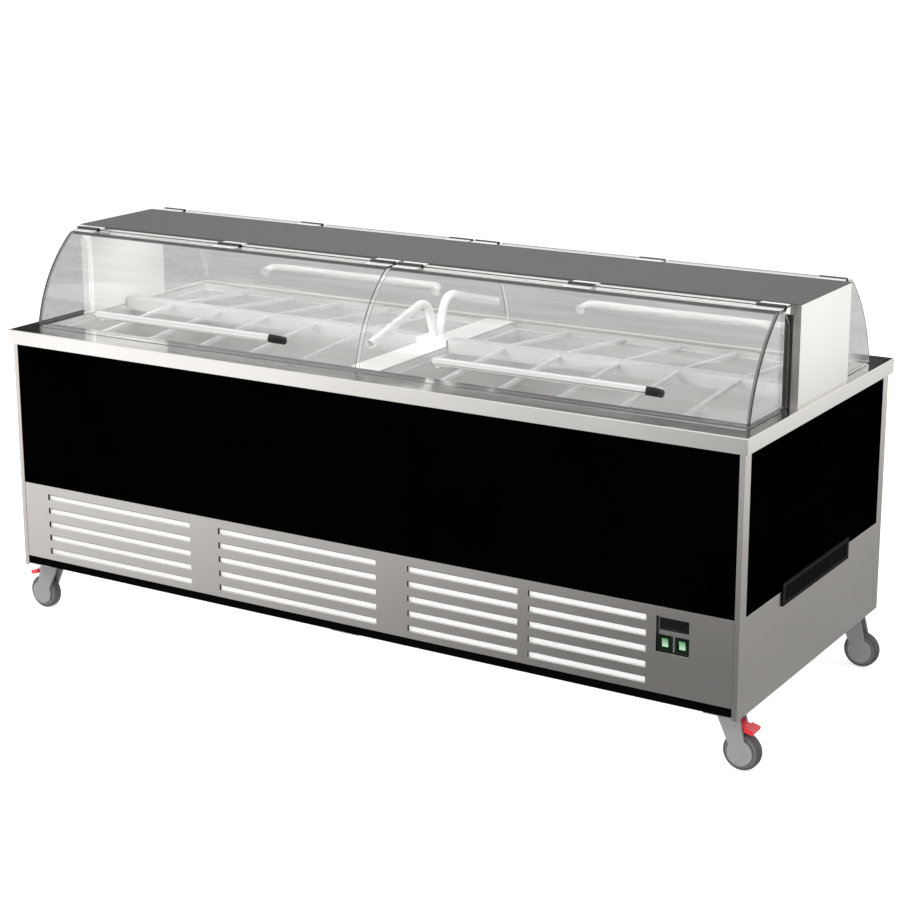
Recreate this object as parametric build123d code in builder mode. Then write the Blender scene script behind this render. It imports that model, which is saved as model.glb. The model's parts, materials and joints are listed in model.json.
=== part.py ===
"""Mobile refrigerated buffet counter with four hinged clear covers.

Frame: millimetres, +Z up, origin on the floor under the middle of the counter,
+X along the counter's length and -Y towards the front with the controls.
"""

from build123d import *
from math import cos, radians, sin, sqrt, tan
import os

os.makedirs("parts", exist_ok=True)

# Countertop and body
counter_length = 2340
counter_depth = 980
counter_height = 875
counter_sheet = 2
rim_height = 41
overhang = 10
post_sheet = 2
post_front_width = 14.5
post_side_width = 36
panel_gap = 1
black_panel_thickness = 8
lower_panel_sheet = 1.5
lower_panel_height = 229
plinth_height = 23
plinth_lift = 3
end_panel_drop = 9

# Base under the body
castor_height = 158
beam_width = 90
beam_height = 30
beam_wall = 2.5
tray_sheet = 2
tray_flange = 8

# Air slots, filters, grille and controls
slot_rows = 5
slot_height = 17.5
slot_spacing = 41.5
slot_drop = 3
slot_corner = 2
louvre_margin = 104
louvre_gap = 100
louvre_narrow_gap = 31
louvre_narrow_length = 337
louvre_control_gap = 27.5
filter_thickness = 8
filter_lap = 3
grille_length = 448
grille_height = 60
grille_thickness = 5
grille_drop = 9
grille_border = 10
grille_slot = 8
grille_spacing = 12
control_width = 91
control_height = 94
control_inset = 133
control_drop = 72
control_recess = 8
control_wall = 2
control_flange = 8
control_flange_sheet = 1.5
display_width = 80
display_height = 32
display_rise = 25
display_depth = 55
display_clip = 2
display_proud = 1
display_clearance = 0.2
rocker_width = 24
rocker_height = 30
rocker_depth = 12
rocker_offset = 23.5
rocker_fall = 22
rocker_tilt = 7
rocker_dip = 1.5
rocker_sink = 3
rocker_gap = 1
rocker_pin_radius = 1.5
pocket_depth = 14

# Wells and what lies over them
bay_pitch = 177
bridge_least = 45
well_column_gap = 4
well_front_margin = 128
ledge_width = 14
ledge_drop = 18
tub_sheet = 1.5
tub_depth = 220
insulation_thickness = 40
insulation_panel_gap = 3
insulation_middle_gap = 8
spine_width = 44
spine_rise = 20
spine_sheet = 2
spine_clearance = 0.5
bar_width = 14
bar_height = 10
bar_sink = 2
bridge_sheet = 2
bridge_side_gap = 2
crown_margin = 8
stay_radius = 12
stay_wall = 1.5
stay_leg_offset = 16
stay_plate_length = 70
stay_plate_sheet = 4
stay_knee = 52
stay_leg_rise = 16
stay_tip_rise = 38
stay_reach = 336
stay_fall = 14.5
stay_bend = 48
drain_radius = 16
drain_wall = 2
drain_flange_radius = 28
drain_flange_sheet = 3
drain_length = 150
drain_clearance = 0.5

# Columns, canopy and cover hinges
column_thickness = 44
column_sheet = 1.5
canopy_depth = 336
canopy_height = 265
canopy_sheet = 2
canopy_skirt = 25
seal_width = 22
seal_thickness = 5
seal_foot_gap = 1
seal_top_gap = 2
rail_depth = 30
rail_leg = 4
rail_edge = 5
rail_step = 3
hinge_length = 76
hinge_sheet = 2
hinge_leaf_depth = 26
hinge_end_inset = 38
hinge_knuckle = 27
knuckle_radius = 5
knuckle_gap = 0.5
knuckle_air = 1.5
pin_radius = 2.5
running_clearance = 0.05
seat_clearance = 0.02

# Covers and handles
cover_thickness = 5
cover_end_inset = 37
cover_middle_gap = 12
cover_lift = 4
cover_foot_inset = 86
cover_shoulder = 36
cover_bulge = 28
cover_bend = 22
cover_notch = 44
cover_seal_gap = 1
handle_length = 640
handle_radius = 10
handle_wall = 1.5
handle_standoff = 42
handle_rise = 50
handle_bend = 28

# Castors
castor_plate_length = 88
castor_plate_width = 105
castor_plate_sheet = 4
castor_plate_corner = 8
castor_inset_y = 81
castor_trail = 35
bolt_spacing_x = 62
bolt_spacing_y = 80
bolt_radius = 4
bolt_head = 13
bolt_head_height = 5
kingpin_radius = 8
kingpin_head_radius = 12
kingpin_head_height = 5
swivel_gap = 1
crown_radius = 30
crown_height = 10
fork_width = 44
wheel_radius = 50
wheel_width = 28
wheel_side_gap = 1
tread_round = 6
rim_radius = 40
rim_recess = 4
hub_radius = 14
axle_radius = 5
axle_boss = 20
guard_radius = 34
pedal_arm_width = 28
pedal_pin_radius = 4
pedal_pivot_reach = 22
pedal_pivot_drop = 21
pedal_arm_length = 25
pedal_boss = 9
pedal_length = 26
pedal_width = 46
pedal_thickness = 12
pedal_corner = 3
pedal_slope = 15

# Cooling unit in the base
condenser_length = 320
condenser_depth = 60
condenser_height = 220
condenser_setback = 38
condenser_plate = 4
fin_spacing = 12
fin_gap = 6
fin_depth = 24
shroud_sheet = 4
shroud_collar = 30
shroud_wall = 3
fan_radius = 97
fan_tip_gap = 4
fan_hub_radius = 24
fan_hub_length = 24
fan_gap = 7
fan_blades = 5
fan_blade_sheet = 3
fan_blade_width = 34
fan_blade_angle = 30
motor_radius = 38
motor_length = 70
motor_gap = 6
motor_foot_width = 60
shaft_radius = 4
compressor_radius = 80
compressor_height = 170
compressor_round = 45
compressor_plate_size = 190
compressor_plate_sheet = 4
compressor_foot_radius = 14
compressor_foot_height = 20
compressor_inset = 440
compressor_setback = 60
pipe_radius = 5
pipe_bend = 25
port_offset = 25
evaporator_spacing = 80
evaporator_runs = 8
evaporator_straight = 2
evaporator_stub_inset = 86
evaporator_step = 70
evaporator_inset = 30
evaporator_air = 0.2
stub_drop = 40
crossing_drop = 55
suction_drop = 95
discharge_rise = 50
liquid_reach = 110
liquid_rise = 40
electrical_box_length = 130
electrical_box_depth = 80
electrical_box_height = 120
electrical_box_lift = 40
gland_inset = 260
gland_drop = 140
gland_radius = 10
gland_bore = 4.5
gland_hex = 14
gland_hex_height = 5
gland_dome = 5

# Planes and levels that the sizes above give
half_length = counter_length / 2
half_depth = counter_depth / 2
body_x = half_length - overhang
body_y = half_depth - overhang
inner_x = body_x - post_sheet
inner_y = body_y - post_sheet
face_x = inner_x + lower_panel_sheet
face_y = inner_y + lower_panel_sheet
panel_x = body_x - post_front_width - panel_gap
panel_y = body_y - post_side_width - panel_gap
top_z = counter_height
plate_z = top_z - counter_sheet
rim_z = top_z - rim_height
tray_z = castor_height + beam_height
floor_z = tray_z + tray_sheet
plinth_z = castor_height + plinth_lift
lower_z = plinth_z + plinth_height
seam_z = lower_z + lower_panel_height
end_z = plinth_z - end_panel_drop
canopy_z = top_z + canopy_height
canopy_y = canopy_depth / 2

# Place names used for the four corners
corners = {
    "front_left": (-1, -1),
    "front_right": (1, -1),
    "rear_left": (-1, 1),
    "rear_right": (1, 1),
}


def both(reach):
    """Limits that lie the same way out on both sides of the middle."""
    return (-reach, reach)


def towards(sign, near, far):
    """Limits of a stretch on one side of the middle, lowest first."""
    return tuple(sorted((sign * near, sign * far)))


def block(x_limits, y_limits, z_limits, mode=Mode.ADD):
    """Add to, or cut from, the part being built the box between these limits."""
    limits = (x_limits, y_limits, z_limits)
    with Locations(tuple((low + high) / 2 for low, high in limits)):
        Box(*(high - low for low, high in limits), mode=mode)


# Castor places, shared by the beams, plates, bolts, forks, wheels and pedals
castor_x = inner_x - beam_width / 2
castor_y = half_depth - castor_inset_y
castor_places = [(sx * castor_x, sy * castor_y) for sx, sy in corners.values()]

# Cross beams that carry the body and take the castors
beam_places = [(x, castor_height + beam_height / 2) for x in (-castor_x, 0, castor_x)]
with BuildPart() as base_beams:
    with BuildSketch(Plane.XZ):
        with Locations(*beam_places):
            Rectangle(beam_width, beam_height)
            Rectangle(beam_width - 2 * beam_wall, beam_height - 2 * beam_wall, mode=Mode.SUBTRACT)
    extrude(amount=inner_y, both=True)
    with BuildSketch(Plane.XY.offset(castor_height)):
        with Locations(*castor_places):
            with GridLocations(bolt_spacing_x, bolt_spacing_y, 2, 2):
                Circle(bolt_radius + seat_clearance)
    extrude(amount=beam_wall, mode=Mode.SUBTRACT)
base_beams.part.label = "base_beams"
export_step(base_beams.part, "parts/base_beams.step")

# Folded tray that carries the cooling unit
tray_rim_z = floor_z + tray_flange
with BuildPart() as floor_tray:
    block(both(inner_x), both(inner_y), (tray_z, tray_rim_z))
    block(both(inner_x - tray_sheet), both(inner_y - tray_sheet), (floor_z, tray_rim_z), Mode.SUBTRACT)
floor_tray.part.label = "floor_tray"
export_step(floor_tray.part, "parts/floor_tray.step")

# Angle posts at the corners of the body
with BuildPart() as corner_posts:
    for sx, sy in corners.values():
        post_z = (end_z, plate_z)
        block(towards(sx, body_x - post_front_width, body_x), towards(sy, inner_y, body_y), post_z)
        block(towards(sx, inner_x, body_x), towards(sy, body_y - post_side_width, body_y), post_z)
corner_posts.part.label = "corner_posts"
export_step(corner_posts.part, "parts/corner_posts.step")

# Window behind the end grille, cut in the two panels that it covers
grille_z = seam_z - grille_drop
window_y = both(grille_length / 2 - grille_border)
window_z = (grille_z - grille_height / 2 + grille_border, grille_z + grille_height / 2 - grille_border)
with BuildPart() as black_panels:
    for sign in (-1, 1):
        block(both(panel_x), towards(sign, face_y - black_panel_thickness, face_y), (seam_z, plate_z))
        block(towards(sign, face_x - black_panel_thickness, face_x), both(panel_y), (seam_z, plate_z))
    block((inner_x - black_panel_thickness, body_x), window_y, window_z, Mode.SUBTRACT)
black_panels.part.label = "black_panels"
export_step(black_panels.part, "parts/black_panels.step")

# Air slots in four groups, the two long groups taking what the others leave
panel_mid_z = (lower_z + seam_z) / 2
slot_mid_z = panel_mid_z - slot_drop
control_x = body_x - control_inset - control_width / 2
control_z = seam_z - control_drop
louvre_start = louvre_margin - body_x
louvre_end = control_x - control_width / 2 - louvre_control_gap
louvre_long_length = (louvre_end - louvre_start - louvre_narrow_gap) / 2 - louvre_gap - louvre_narrow_length
louvre_lengths = [louvre_long_length, louvre_long_length, louvre_narrow_length, louvre_narrow_length]
louvre_gaps = [louvre_gap, louvre_gap, louvre_narrow_gap, louvre_control_gap]
louvres = []
next_x = louvre_start
for length, gap in zip(louvre_lengths, louvre_gaps):
    louvres.append((next_x + length / 2, length))
    next_x = next_x + length + gap

# Front lower panel with its air slots and the opening for the controls
with BuildPart() as front_lower_panel:
    with BuildSketch(Plane.XZ.offset(inner_y)):
        with Locations((0, panel_mid_z)):
            Rectangle(2 * panel_x, lower_panel_height)
        for middle, length in louvres:
            with Locations((middle, slot_mid_z)):
                with GridLocations(0, slot_spacing, 1, slot_rows):
                    RectangleRounded(length, slot_height, slot_corner, mode=Mode.SUBTRACT)
        with Locations((control_x, control_z)):
            Rectangle(control_width, control_height, mode=Mode.SUBTRACT)
    extrude(amount=lower_panel_sheet)
front_lower_panel.part.label = "front_lower_panel"
export_step(front_lower_panel.part, "parts/front_lower_panel.step")

# Rear lower panel with the hole for the mains gland
gland_x = body_x - gland_inset
gland_z = seam_z - gland_drop
with BuildPart() as rear_lower_panel:
    with BuildSketch(Plane.XZ.offset(-inner_y)):
        with Locations((0, panel_mid_z)):
            Rectangle(2 * panel_x, lower_panel_height)
        with Locations((gland_x, gland_z)):
            Circle(gland_radius + seat_clearance, mode=Mode.SUBTRACT)
    extrude(amount=-lower_panel_sheet)
rear_lower_panel.part.label = "rear_lower_panel"
export_step(rear_lower_panel.part, "parts/rear_lower_panel.step")

# End lower panels, the right one open behind the grille
with BuildPart() as end_lower_panels:
    for sign in (-1, 1):
        block(towards(sign, inner_x, face_x), both(panel_y), (end_z, seam_z))
    block((inner_x, face_x), window_y, window_z, Mode.SUBTRACT)
end_lower_panels.part.label = "end_lower_panels"
export_step(end_lower_panels.part, "parts/end_lower_panels.step")

# Black strips along the foot of the front and the rear
with BuildPart() as plinth_strips:
    for sign in (-1, 1):
        block(both(panel_x), towards(sign, inner_y, body_y), (plinth_z, lower_z))
plinth_strips.part.label = "plinth_strips"
export_step(plinth_strips.part, "parts/plinth_strips.step")

# Pale filter mats behind the air slots
filter_reach = ((slot_rows - 1) * slot_spacing + slot_height) / 2 + filter_lap
with BuildPart() as air_filters:
    for middle, length in louvres:
        block(
            (middle - length / 2 - filter_lap, middle + length / 2 + filter_lap),
            (-inner_y, filter_thickness - inner_y),
            (slot_mid_z - filter_reach, slot_mid_z + filter_reach),
        )
air_filters.part.label = "air_filters"
export_step(air_filters.part, "parts/air_filters.step")

# Slatted grille on the right end
grille_slots = int((grille_length - 2 * grille_border) / grille_spacing)
with BuildPart() as end_grille:
    with BuildSketch(Plane.YZ.offset(face_x)):
        with Locations((0, grille_z)):
            Rectangle(grille_length, grille_height)
            with GridLocations(grille_spacing, 0, grille_slots, 1):
                Rectangle(grille_slot, grille_height - 2 * grille_border, mode=Mode.SUBTRACT)
    extrude(amount=grille_thickness)
end_grille.part.label = "end_grille"
export_step(end_grille.part, "parts/end_grille.step")

# Sunk control panel with a window for the display and a pocket for each switch
control_y = control_recess - inner_y
control_back_y = control_y + control_wall
control_low_x = control_x - control_width / 2
control_high_x = control_x + control_width / 2
control_low_z = control_z - control_height / 2
control_high_z = control_z + control_height / 2
display_z = control_z + display_rise
rocker_z = control_z - rocker_fall
rocker_y = control_y + rocker_sink
rocker_places = {"left": control_x - rocker_offset, "right": control_x + rocker_offset}
pocket_x = rocker_width / 2 + rocker_gap
pocket_z = rocker_height / 2 + rocker_gap
with BuildPart() as control_bezel:
    block(
        (control_low_x - control_flange, control_high_x + control_flange),
        (-inner_y, control_flange_sheet - inner_y),
        (control_low_z - control_flange, control_high_z + control_flange),
    )
    block(
        (control_low_x - control_wall, control_high_x + control_wall),
        (-inner_y, control_back_y),
        (control_low_z - control_wall, control_high_z + control_wall),
    )
    block(
        (control_low_x, control_high_x),
        (-inner_y, control_y),
        (control_low_z, control_high_z),
        Mode.SUBTRACT,
    )
    for x in rocker_places.values():
        block(
            (x - pocket_x - control_wall, x + pocket_x + control_wall),
            (control_y, control_y + pocket_depth),
            (rocker_z - pocket_z - control_wall, rocker_z + pocket_z + control_wall),
        )
        block(
            (x - pocket_x, x + pocket_x),
            (control_y, control_y + pocket_depth),
            (rocker_z - pocket_z, rocker_z + pocket_z),
            Mode.SUBTRACT,
        )
        with Locations((x, rocker_y, rocker_z)):
            Cylinder(
                rocker_pin_radius + running_clearance,
                2 * (pocket_x + control_wall),
                rotation=(0, 90, 0),
                mode=Mode.SUBTRACT,
            )
    block(
        (control_x - display_width / 2, control_x + display_width / 2),
        (control_y, control_back_y),
        (display_z - display_height / 2, display_z + display_height / 2),
        Mode.SUBTRACT,
    )
control_bezel.part.label = "control_bezel"
export_step(control_bezel.part, "parts/control_bezel.step")

# Temperature controller behind its window
display_x = display_width / 2 - display_clearance
display_reach = display_height / 2 - display_clearance
with BuildPart() as controller:
    block(
        (control_x - display_x, control_x + display_x),
        (control_y - display_proud, control_y + display_depth),
        (display_z - display_reach, display_z + display_reach),
    )
    block(
        (control_x - display_x - display_clip, control_x + display_x + display_clip),
        (control_back_y, control_back_y + display_clip),
        (display_z - display_reach - display_clip, display_z + display_reach + display_clip),
    )
controller.part.label = "controller"
export_step(controller.part, "parts/controller.step")


def rocker(x):
    """Rocker switch key, drawn on the plane that its off position tilts it to."""
    tilt = radians(rocker_tilt)
    slant = Plane(origin=(x, rocker_y, rocker_z), x_dir=(0, cos(tilt), sin(tilt)), z_dir=(1, 0, 0))
    front = rocker_depth / 2
    tip = rocker_height / 2
    with BuildPart() as key:
        with BuildSketch(slant):
            with BuildLine():
                Polyline(
                    (-front, tip),
                    (rocker_dip - front, 0),
                    (-front, -tip),
                    (0, -tip),
                    (front, -tip / 2),
                    (front, tip / 2),
                    (0, tip),
                    close=True,
                )
            make_face()
        extrude(amount=rocker_width / 2, both=True)
        with BuildSketch(slant):
            Circle(rocker_pin_radius)
        extrude(amount=pocket_x + control_wall / 2, both=True)
    return key


# Two rocker switches
for place, x in rocker_places.items():
    switch = rocker(x)
    switch.part.label = "rocker_" + place
    export_step(switch.part, "parts/rocker_" + place + ".step")

# Wells: the ends stand clear of the columns and the bays fill the length
well_end = body_x - column_thickness - well_column_gap
bays = int((well_end - bridge_least) / bay_pitch)
well_length = bays * bay_pitch
well_start = well_end - well_length
well_y = half_depth - well_front_margin
well_mid = (well_start + well_end) / 2
well_places = [(-well_mid, 0), (well_mid, 0)]
ledge_z = top_z - ledge_drop
tub_z = top_z - tub_depth
tub_under_z = tub_z - tub_sheet
tub_length = well_length - 2 * ledge_width
tub_width = 2 * (well_y - ledge_width)

# Countertop sheet with its turned-down rim
with BuildPart() as countertop:
    with BuildSketch(Plane.XY.offset(rim_z)):
        Rectangle(counter_length, counter_depth)
        Rectangle(counter_length - 2 * counter_sheet, counter_depth - 2 * counter_sheet, mode=Mode.SUBTRACT)
    extrude(amount=rim_height)
    with BuildSketch(Plane.XY.offset(plate_z)):
        Rectangle(counter_length, counter_depth)
        with Locations(*well_places):
            Rectangle(well_length, 2 * well_y, mode=Mode.SUBTRACT)
    extrude(amount=counter_sheet)
countertop.part.label = "countertop"
export_step(countertop.part, "parts/countertop.step")

# Tubs that hang under the openings, each with a ledge all round
with BuildPart() as wells:
    with BuildSketch(Plane.XY.offset(ledge_z)):
        with Locations(*well_places):
            Rectangle(well_length + 2 * tub_sheet, 2 * (well_y + tub_sheet))
            Rectangle(well_length, 2 * well_y, mode=Mode.SUBTRACT)
    extrude(amount=plate_z - ledge_z)
    with BuildSketch(Plane.XY.offset(ledge_z)):
        with Locations(*well_places):
            Rectangle(well_length + 2 * tub_sheet, 2 * (well_y + tub_sheet))
            Rectangle(tub_length, tub_width, mode=Mode.SUBTRACT)
    extrude(amount=-tub_sheet)
    with BuildSketch(Plane.XY.offset(tub_z)):
        with Locations(*well_places):
            Rectangle(tub_length + 2 * tub_sheet, tub_width + 2 * tub_sheet)
            Rectangle(tub_length, tub_width, mode=Mode.SUBTRACT)
    extrude(amount=ledge_z - tub_z)
    with BuildSketch(Plane.XY.offset(tub_z)):
        with Locations(*well_places):
            Rectangle(tub_length + 2 * tub_sheet, tub_width + 2 * tub_sheet)
            Circle(drain_radius + drain_clearance, mode=Mode.SUBTRACT)
    extrude(amount=-tub_sheet)
wells.part.label = "wells"
export_step(wells.part, "parts/wells.step")

# Evaporator coil under each tub floor, in a space left in the insulation
coil_z = tub_under_z - evaporator_air - pipe_radius
coil_floor_z = coil_z - pipe_radius - evaporator_air
coil_bend = (evaporator_spacing - evaporator_straight) / 2
coil_y = (evaporator_runs - 1) * evaporator_spacing / 2
coil_x = well_start + ledge_width + evaporator_stub_inset
pipe_slot = pipe_radius + drain_clearance
insulation_z = coil_floor_z - insulation_thickness
insulation_start = insulation_middle_gap / 2
insulation_end = face_x - black_panel_thickness - insulation_panel_gap
stub_z = insulation_z - stub_drop

# Foam around the tubs
with BuildPart() as well_insulation:
    for sign in (-1, 1):
        block(
            towards(sign, insulation_start, insulation_end),
            both(well_y + insulation_thickness),
            (insulation_z, plate_z),
        )
    with BuildSketch(Plane.XY.offset(ledge_z - tub_sheet)):
        with Locations(*well_places):
            Rectangle(well_length + 2 * tub_sheet, 2 * (well_y + tub_sheet))
    extrude(amount=ledge_drop, mode=Mode.SUBTRACT)
    with BuildSketch(Plane.XY.offset(coil_floor_z)):
        with Locations(*well_places):
            Rectangle(tub_length + 2 * tub_sheet, tub_width + 2 * tub_sheet)
    extrude(amount=ledge_z - coil_floor_z, mode=Mode.SUBTRACT)
    with BuildSketch(Plane.XY.offset(insulation_z)):
        with Locations(*well_places):
            Circle(drain_radius + drain_clearance)
    extrude(amount=insulation_thickness, mode=Mode.SUBTRACT)
    for sx, sy in corners.values():
        block(
            towards(sx, coil_x - pipe_slot, coil_x + coil_bend),
            towards(sy, coil_y - pipe_slot, coil_y + pipe_slot),
            (insulation_z, coil_floor_z),
            Mode.SUBTRACT,
        )
well_insulation.part.label = "well_insulation"
export_step(well_insulation.part, "parts/well_insulation.step")

# Drain outlets through the tub floors
with BuildPart() as well_drains:
    with Locations(*[(x, y, tub_z) for x, y in well_places]):
        Cylinder(drain_flange_radius, drain_flange_sheet, align=(Align.CENTER, Align.CENTER, Align.MIN))
        Cylinder(drain_radius, drain_length, align=(Align.CENTER, Align.CENTER, Align.MAX))
        Cylinder(drain_radius - drain_wall, 2 * drain_length, mode=Mode.SUBTRACT)
well_drains.part.label = "well_drains"
export_step(well_drains.part, "parts/well_drains.step")

# Lengthwise spine over each well, seated on the end ledges
spine_z = top_z + spine_rise
spine_x = (well_start + spine_clearance, well_end - spine_clearance)
with BuildPart() as well_spines:
    for sign in (-1, 1):
        block(towards(sign, *spine_x), both(spine_width / 2), (ledge_z, spine_z))
        block(
            towards(sign, *spine_x),
            both(spine_width / 2 - spine_sheet),
            (ledge_z, spine_z - spine_sheet),
            Mode.SUBTRACT,
        )
well_spines.part.label = "well_spines"
export_step(well_spines.part, "parts/well_spines.step")

# Divider bars that fall from the spine to the ledge, one between each two bays
bar_foot = well_y - spine_clearance
bar_head = spine_width / 2
bar_head_z = spine_z - bar_sink
bar_seat = bar_foot - ledge_width
bar_half = bar_width / 2
bar_places = [sx * (well_start + bay * bay_pitch) for sx in (-1, 1) for bay in range(1, bays)]
with BuildPart() as pan_bars:
    for sign in (-1, 1):
        for x in bar_places:
            with BuildSketch(Plane.YZ.offset(x)):
                with BuildLine():
                    Polyline(
                        (sign * bar_foot, ledge_z),
                        (sign * bar_seat, ledge_z),
                        (sign * bar_head, bar_head_z - bar_height),
                        (sign * bar_head, bar_head_z),
                        (sign * bar_foot, ledge_z + bar_height),
                        close=True,
                    )
                make_face()
            extrude(amount=bar_half, both=True)
pan_bars.part.label = "pan_bars"
export_step(pan_bars.part, "parts/pan_bars.step")

# Cap over the strip between the wells, raised in the middle to meet the spines
bridge_x = well_start - bridge_side_gap
bridge_y = well_y - bridge_side_gap
crown_y = spine_width / 2 + crown_margin
crown_z = spine_z
with BuildPart() as centre_bridge:
    block(both(bridge_x), both(bridge_y), (top_z, top_z + bridge_sheet))
    block(both(bridge_x), both(crown_y), (top_z, crown_z))
    block(
        both(bridge_x - bridge_sheet),
        both(crown_y - bridge_sheet),
        (top_z, crown_z - bridge_sheet),
        Mode.SUBTRACT,
    )
centre_bridge.part.label = "centre_bridge"
export_step(centre_bridge.part, "parts/centre_bridge.step")

# Bent white tubes on the middle of the bridge, one arm to the front and one to the rear
stay_seat_z = crown_z + stay_plate_sheet
stay_root_z = crown_z + stay_plate_sheet / 2
stay_tip_z = stay_seat_z + stay_tip_rise
stay_knee_z = stay_tip_z + (stay_reach - stay_knee) * tan(radians(stay_fall))
with BuildPart() as centre_stay:
    block(both(stay_plate_length / 2), both(crown_y - bridge_sheet), (crown_z, stay_seat_z))
    for sign in (-1, 1):
        with BuildLine(Plane.YZ) as stay_line:
            FilletPolyline(
                (sign * stay_leg_offset, stay_root_z),
                (sign * stay_leg_offset, stay_seat_z + stay_leg_rise),
                (sign * stay_knee, stay_knee_z),
                (sign * stay_reach, stay_tip_z),
                radius=stay_bend,
            )
        with BuildSketch(Plane(origin=stay_line.line @ 0, z_dir=stay_line.line % 0)):
            Circle(stay_radius)
            Circle(stay_radius - stay_wall, mode=Mode.SUBTRACT)
        sweep()
centre_stay.part.label = "centre_stay"
export_step(centre_stay.part, "parts/centre_stay.step")

# Box columns at the two ends
column_x = body_x - column_thickness
column_top_z = canopy_z - canopy_sheet
with BuildPart() as columns:
    for sign in (-1, 1):
        block(towards(sign, column_x, body_x), both(canopy_y), (top_z, column_top_z))
        block(
            towards(sign, column_x + column_sheet, body_x - column_sheet),
            both(canopy_y - column_sheet),
            (top_z, column_top_z),
            Mode.SUBTRACT,
        )
columns.part.label = "columns"
export_step(columns.part, "parts/columns.step")

# Canopy plate with a skirt along both sides between the columns
skirt_z = column_top_z - canopy_skirt
with BuildPart() as canopy:
    block(both(body_x), both(canopy_y), (column_top_z, canopy_z))
    for sign in (-1, 1):
        block(
            both(column_x - panel_gap),
            towards(sign, canopy_y - canopy_sheet, canopy_y),
            (skirt_z, column_top_z),
        )
canopy.part.label = "canopy"
export_step(canopy.part, "parts/canopy.step")

# Dark seal strips on the faces of the right column that the covers close against
with BuildPart() as column_seals:
    for sign in (-1, 1):
        block(
            (column_x, column_x + seal_width),
            towards(sign, canopy_y, canopy_y + seal_thickness),
            (top_z + seal_foot_gap, skirt_z - seal_top_gap),
        )
column_seals.part.label = "column_seals"
export_step(column_seals.part, "parts/column_seals.step")

# Cover ends and hinge places along the length
cover_near_x = cover_middle_gap / 2
cover_far_x = half_length - cover_end_inset
cover_mid_x = (cover_near_x + cover_far_x) / 2
hinge_places = [cover_near_x + hinge_end_inset, cover_mid_x, cover_far_x - hinge_end_inset]

# Rails along the canopy that carry the hinges
rail_z = canopy_z - rail_step
rail_y = canopy_y + rail_depth
with BuildPart() as hinge_rails:
    for sign in (-1, 1):
        block(both(cover_far_x), towards(sign, canopy_y, canopy_y + rail_leg), (skirt_z, rail_z))
        block(both(cover_far_x), towards(sign, canopy_y, rail_y), (rail_z - rail_edge, rail_z))
hinge_rails.part.label = "hinge_rails"
export_step(hinge_rails.part, "parts/hinge_rails.step")

# Hinges: two fixed knuckles outside one moving knuckle, on a pin
axis_y = rail_y + knuckle_radius + panel_gap
axis_z = rail_z + hinge_sheet - knuckle_radius
ear_x = hinge_length / 2
knuckle_x = hinge_knuckle / 2
leaf_root = axis_y + knuckle_radius + knuckle_air
leaf_tip = leaf_root + hinge_leaf_depth
with BuildPart() as hinge_fixed_leaves:
    for sx, sy in corners.values():
        for place in hinge_places:
            middle = sx * place
            block(
                (middle - ear_x, middle + ear_x),
                towards(sy, canopy_y + rail_leg, rail_y - knuckle_gap),
                (rail_z, rail_z + hinge_sheet),
            )
            for end in (-1, 1):
                ear_near = middle + end * (knuckle_x + knuckle_gap)
                ear_far = middle + end * ear_x
                ear = tuple(sorted((ear_near, ear_far)))
                block(ear, towards(sy, rail_y - knuckle_radius, axis_y), (rail_z, rail_z + hinge_sheet))
                with Locations(((ear_near + ear_far) / 2, sy * axis_y, axis_z)):
                    Cylinder(knuckle_radius, ear[1] - ear[0], rotation=(0, 90, 0))
                    Cylinder(
                        pin_radius + seat_clearance,
                        hinge_length,
                        rotation=(0, 90, 0),
                        mode=Mode.SUBTRACT,
                    )
hinge_fixed_leaves.part.label = "hinge_fixed_leaves"
export_step(hinge_fixed_leaves.part, "parts/hinge_fixed_leaves.step")

with BuildPart() as hinge_pins:
    for sx, sy in corners.values():
        with Locations(*[(sx * place, sy * axis_y, axis_z) for place in hinge_places]):
            Cylinder(pin_radius, hinge_length, rotation=(0, 90, 0))
hinge_pins.part.label = "hinge_pins"
export_step(hinge_pins.part, "parts/hinge_pins.step")


def cover_leaves(sx, sy):
    """Moving hinge leaves of one cover, which lie on its top flange."""
    leaf_z = (axis_z - hinge_sheet / 2, axis_z + hinge_sheet / 2)
    with BuildPart() as leaves:
        for place in hinge_places:
            middle = sx * place
            block((middle - ear_x, middle + ear_x), towards(sy, leaf_root, leaf_tip), leaf_z)
            block((middle - knuckle_x, middle + knuckle_x), towards(sy, axis_y, leaf_tip), leaf_z)
            with Locations((middle, sy * axis_y, axis_z)):
                Cylinder(knuckle_radius, hinge_knuckle, rotation=(0, 90, 0))
                Cylinder(
                    pin_radius + running_clearance,
                    hinge_knuckle,
                    rotation=(0, 90, 0),
                    mode=Mode.SUBTRACT,
                )
    return leaves


# Curve of the covers, in distance out from the middle and in height
flange_z = axis_z - hinge_sheet / 2
shoulder_y = leaf_root + cover_shoulder
foot_y = half_depth - cover_foot_inset
foot_z = top_z + cover_lift
back_y = canopy_y + seal_thickness + cover_seal_gap
chord_y = foot_y - shoulder_y
chord_z = foot_z - flange_z
chord = sqrt(chord_y**2 + chord_z**2)
bow_radius = (chord**2 / 4 + cover_bulge**2) / (2 * cover_bulge)
bow_out_y = -chord_z / chord
bow_out_z = chord_y / chord
bow_y = (shoulder_y + foot_y) / 2 - bow_out_y * (bow_radius - cover_bulge)
bow_z = (flange_z + foot_z) / 2 - bow_out_z * (bow_radius - cover_bulge)


def bow_at(radius, z):
    """Distance out of the cover's curve, of this radius, at a height."""
    return bow_y + sqrt(radius**2 - (z - bow_z) ** 2)


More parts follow.
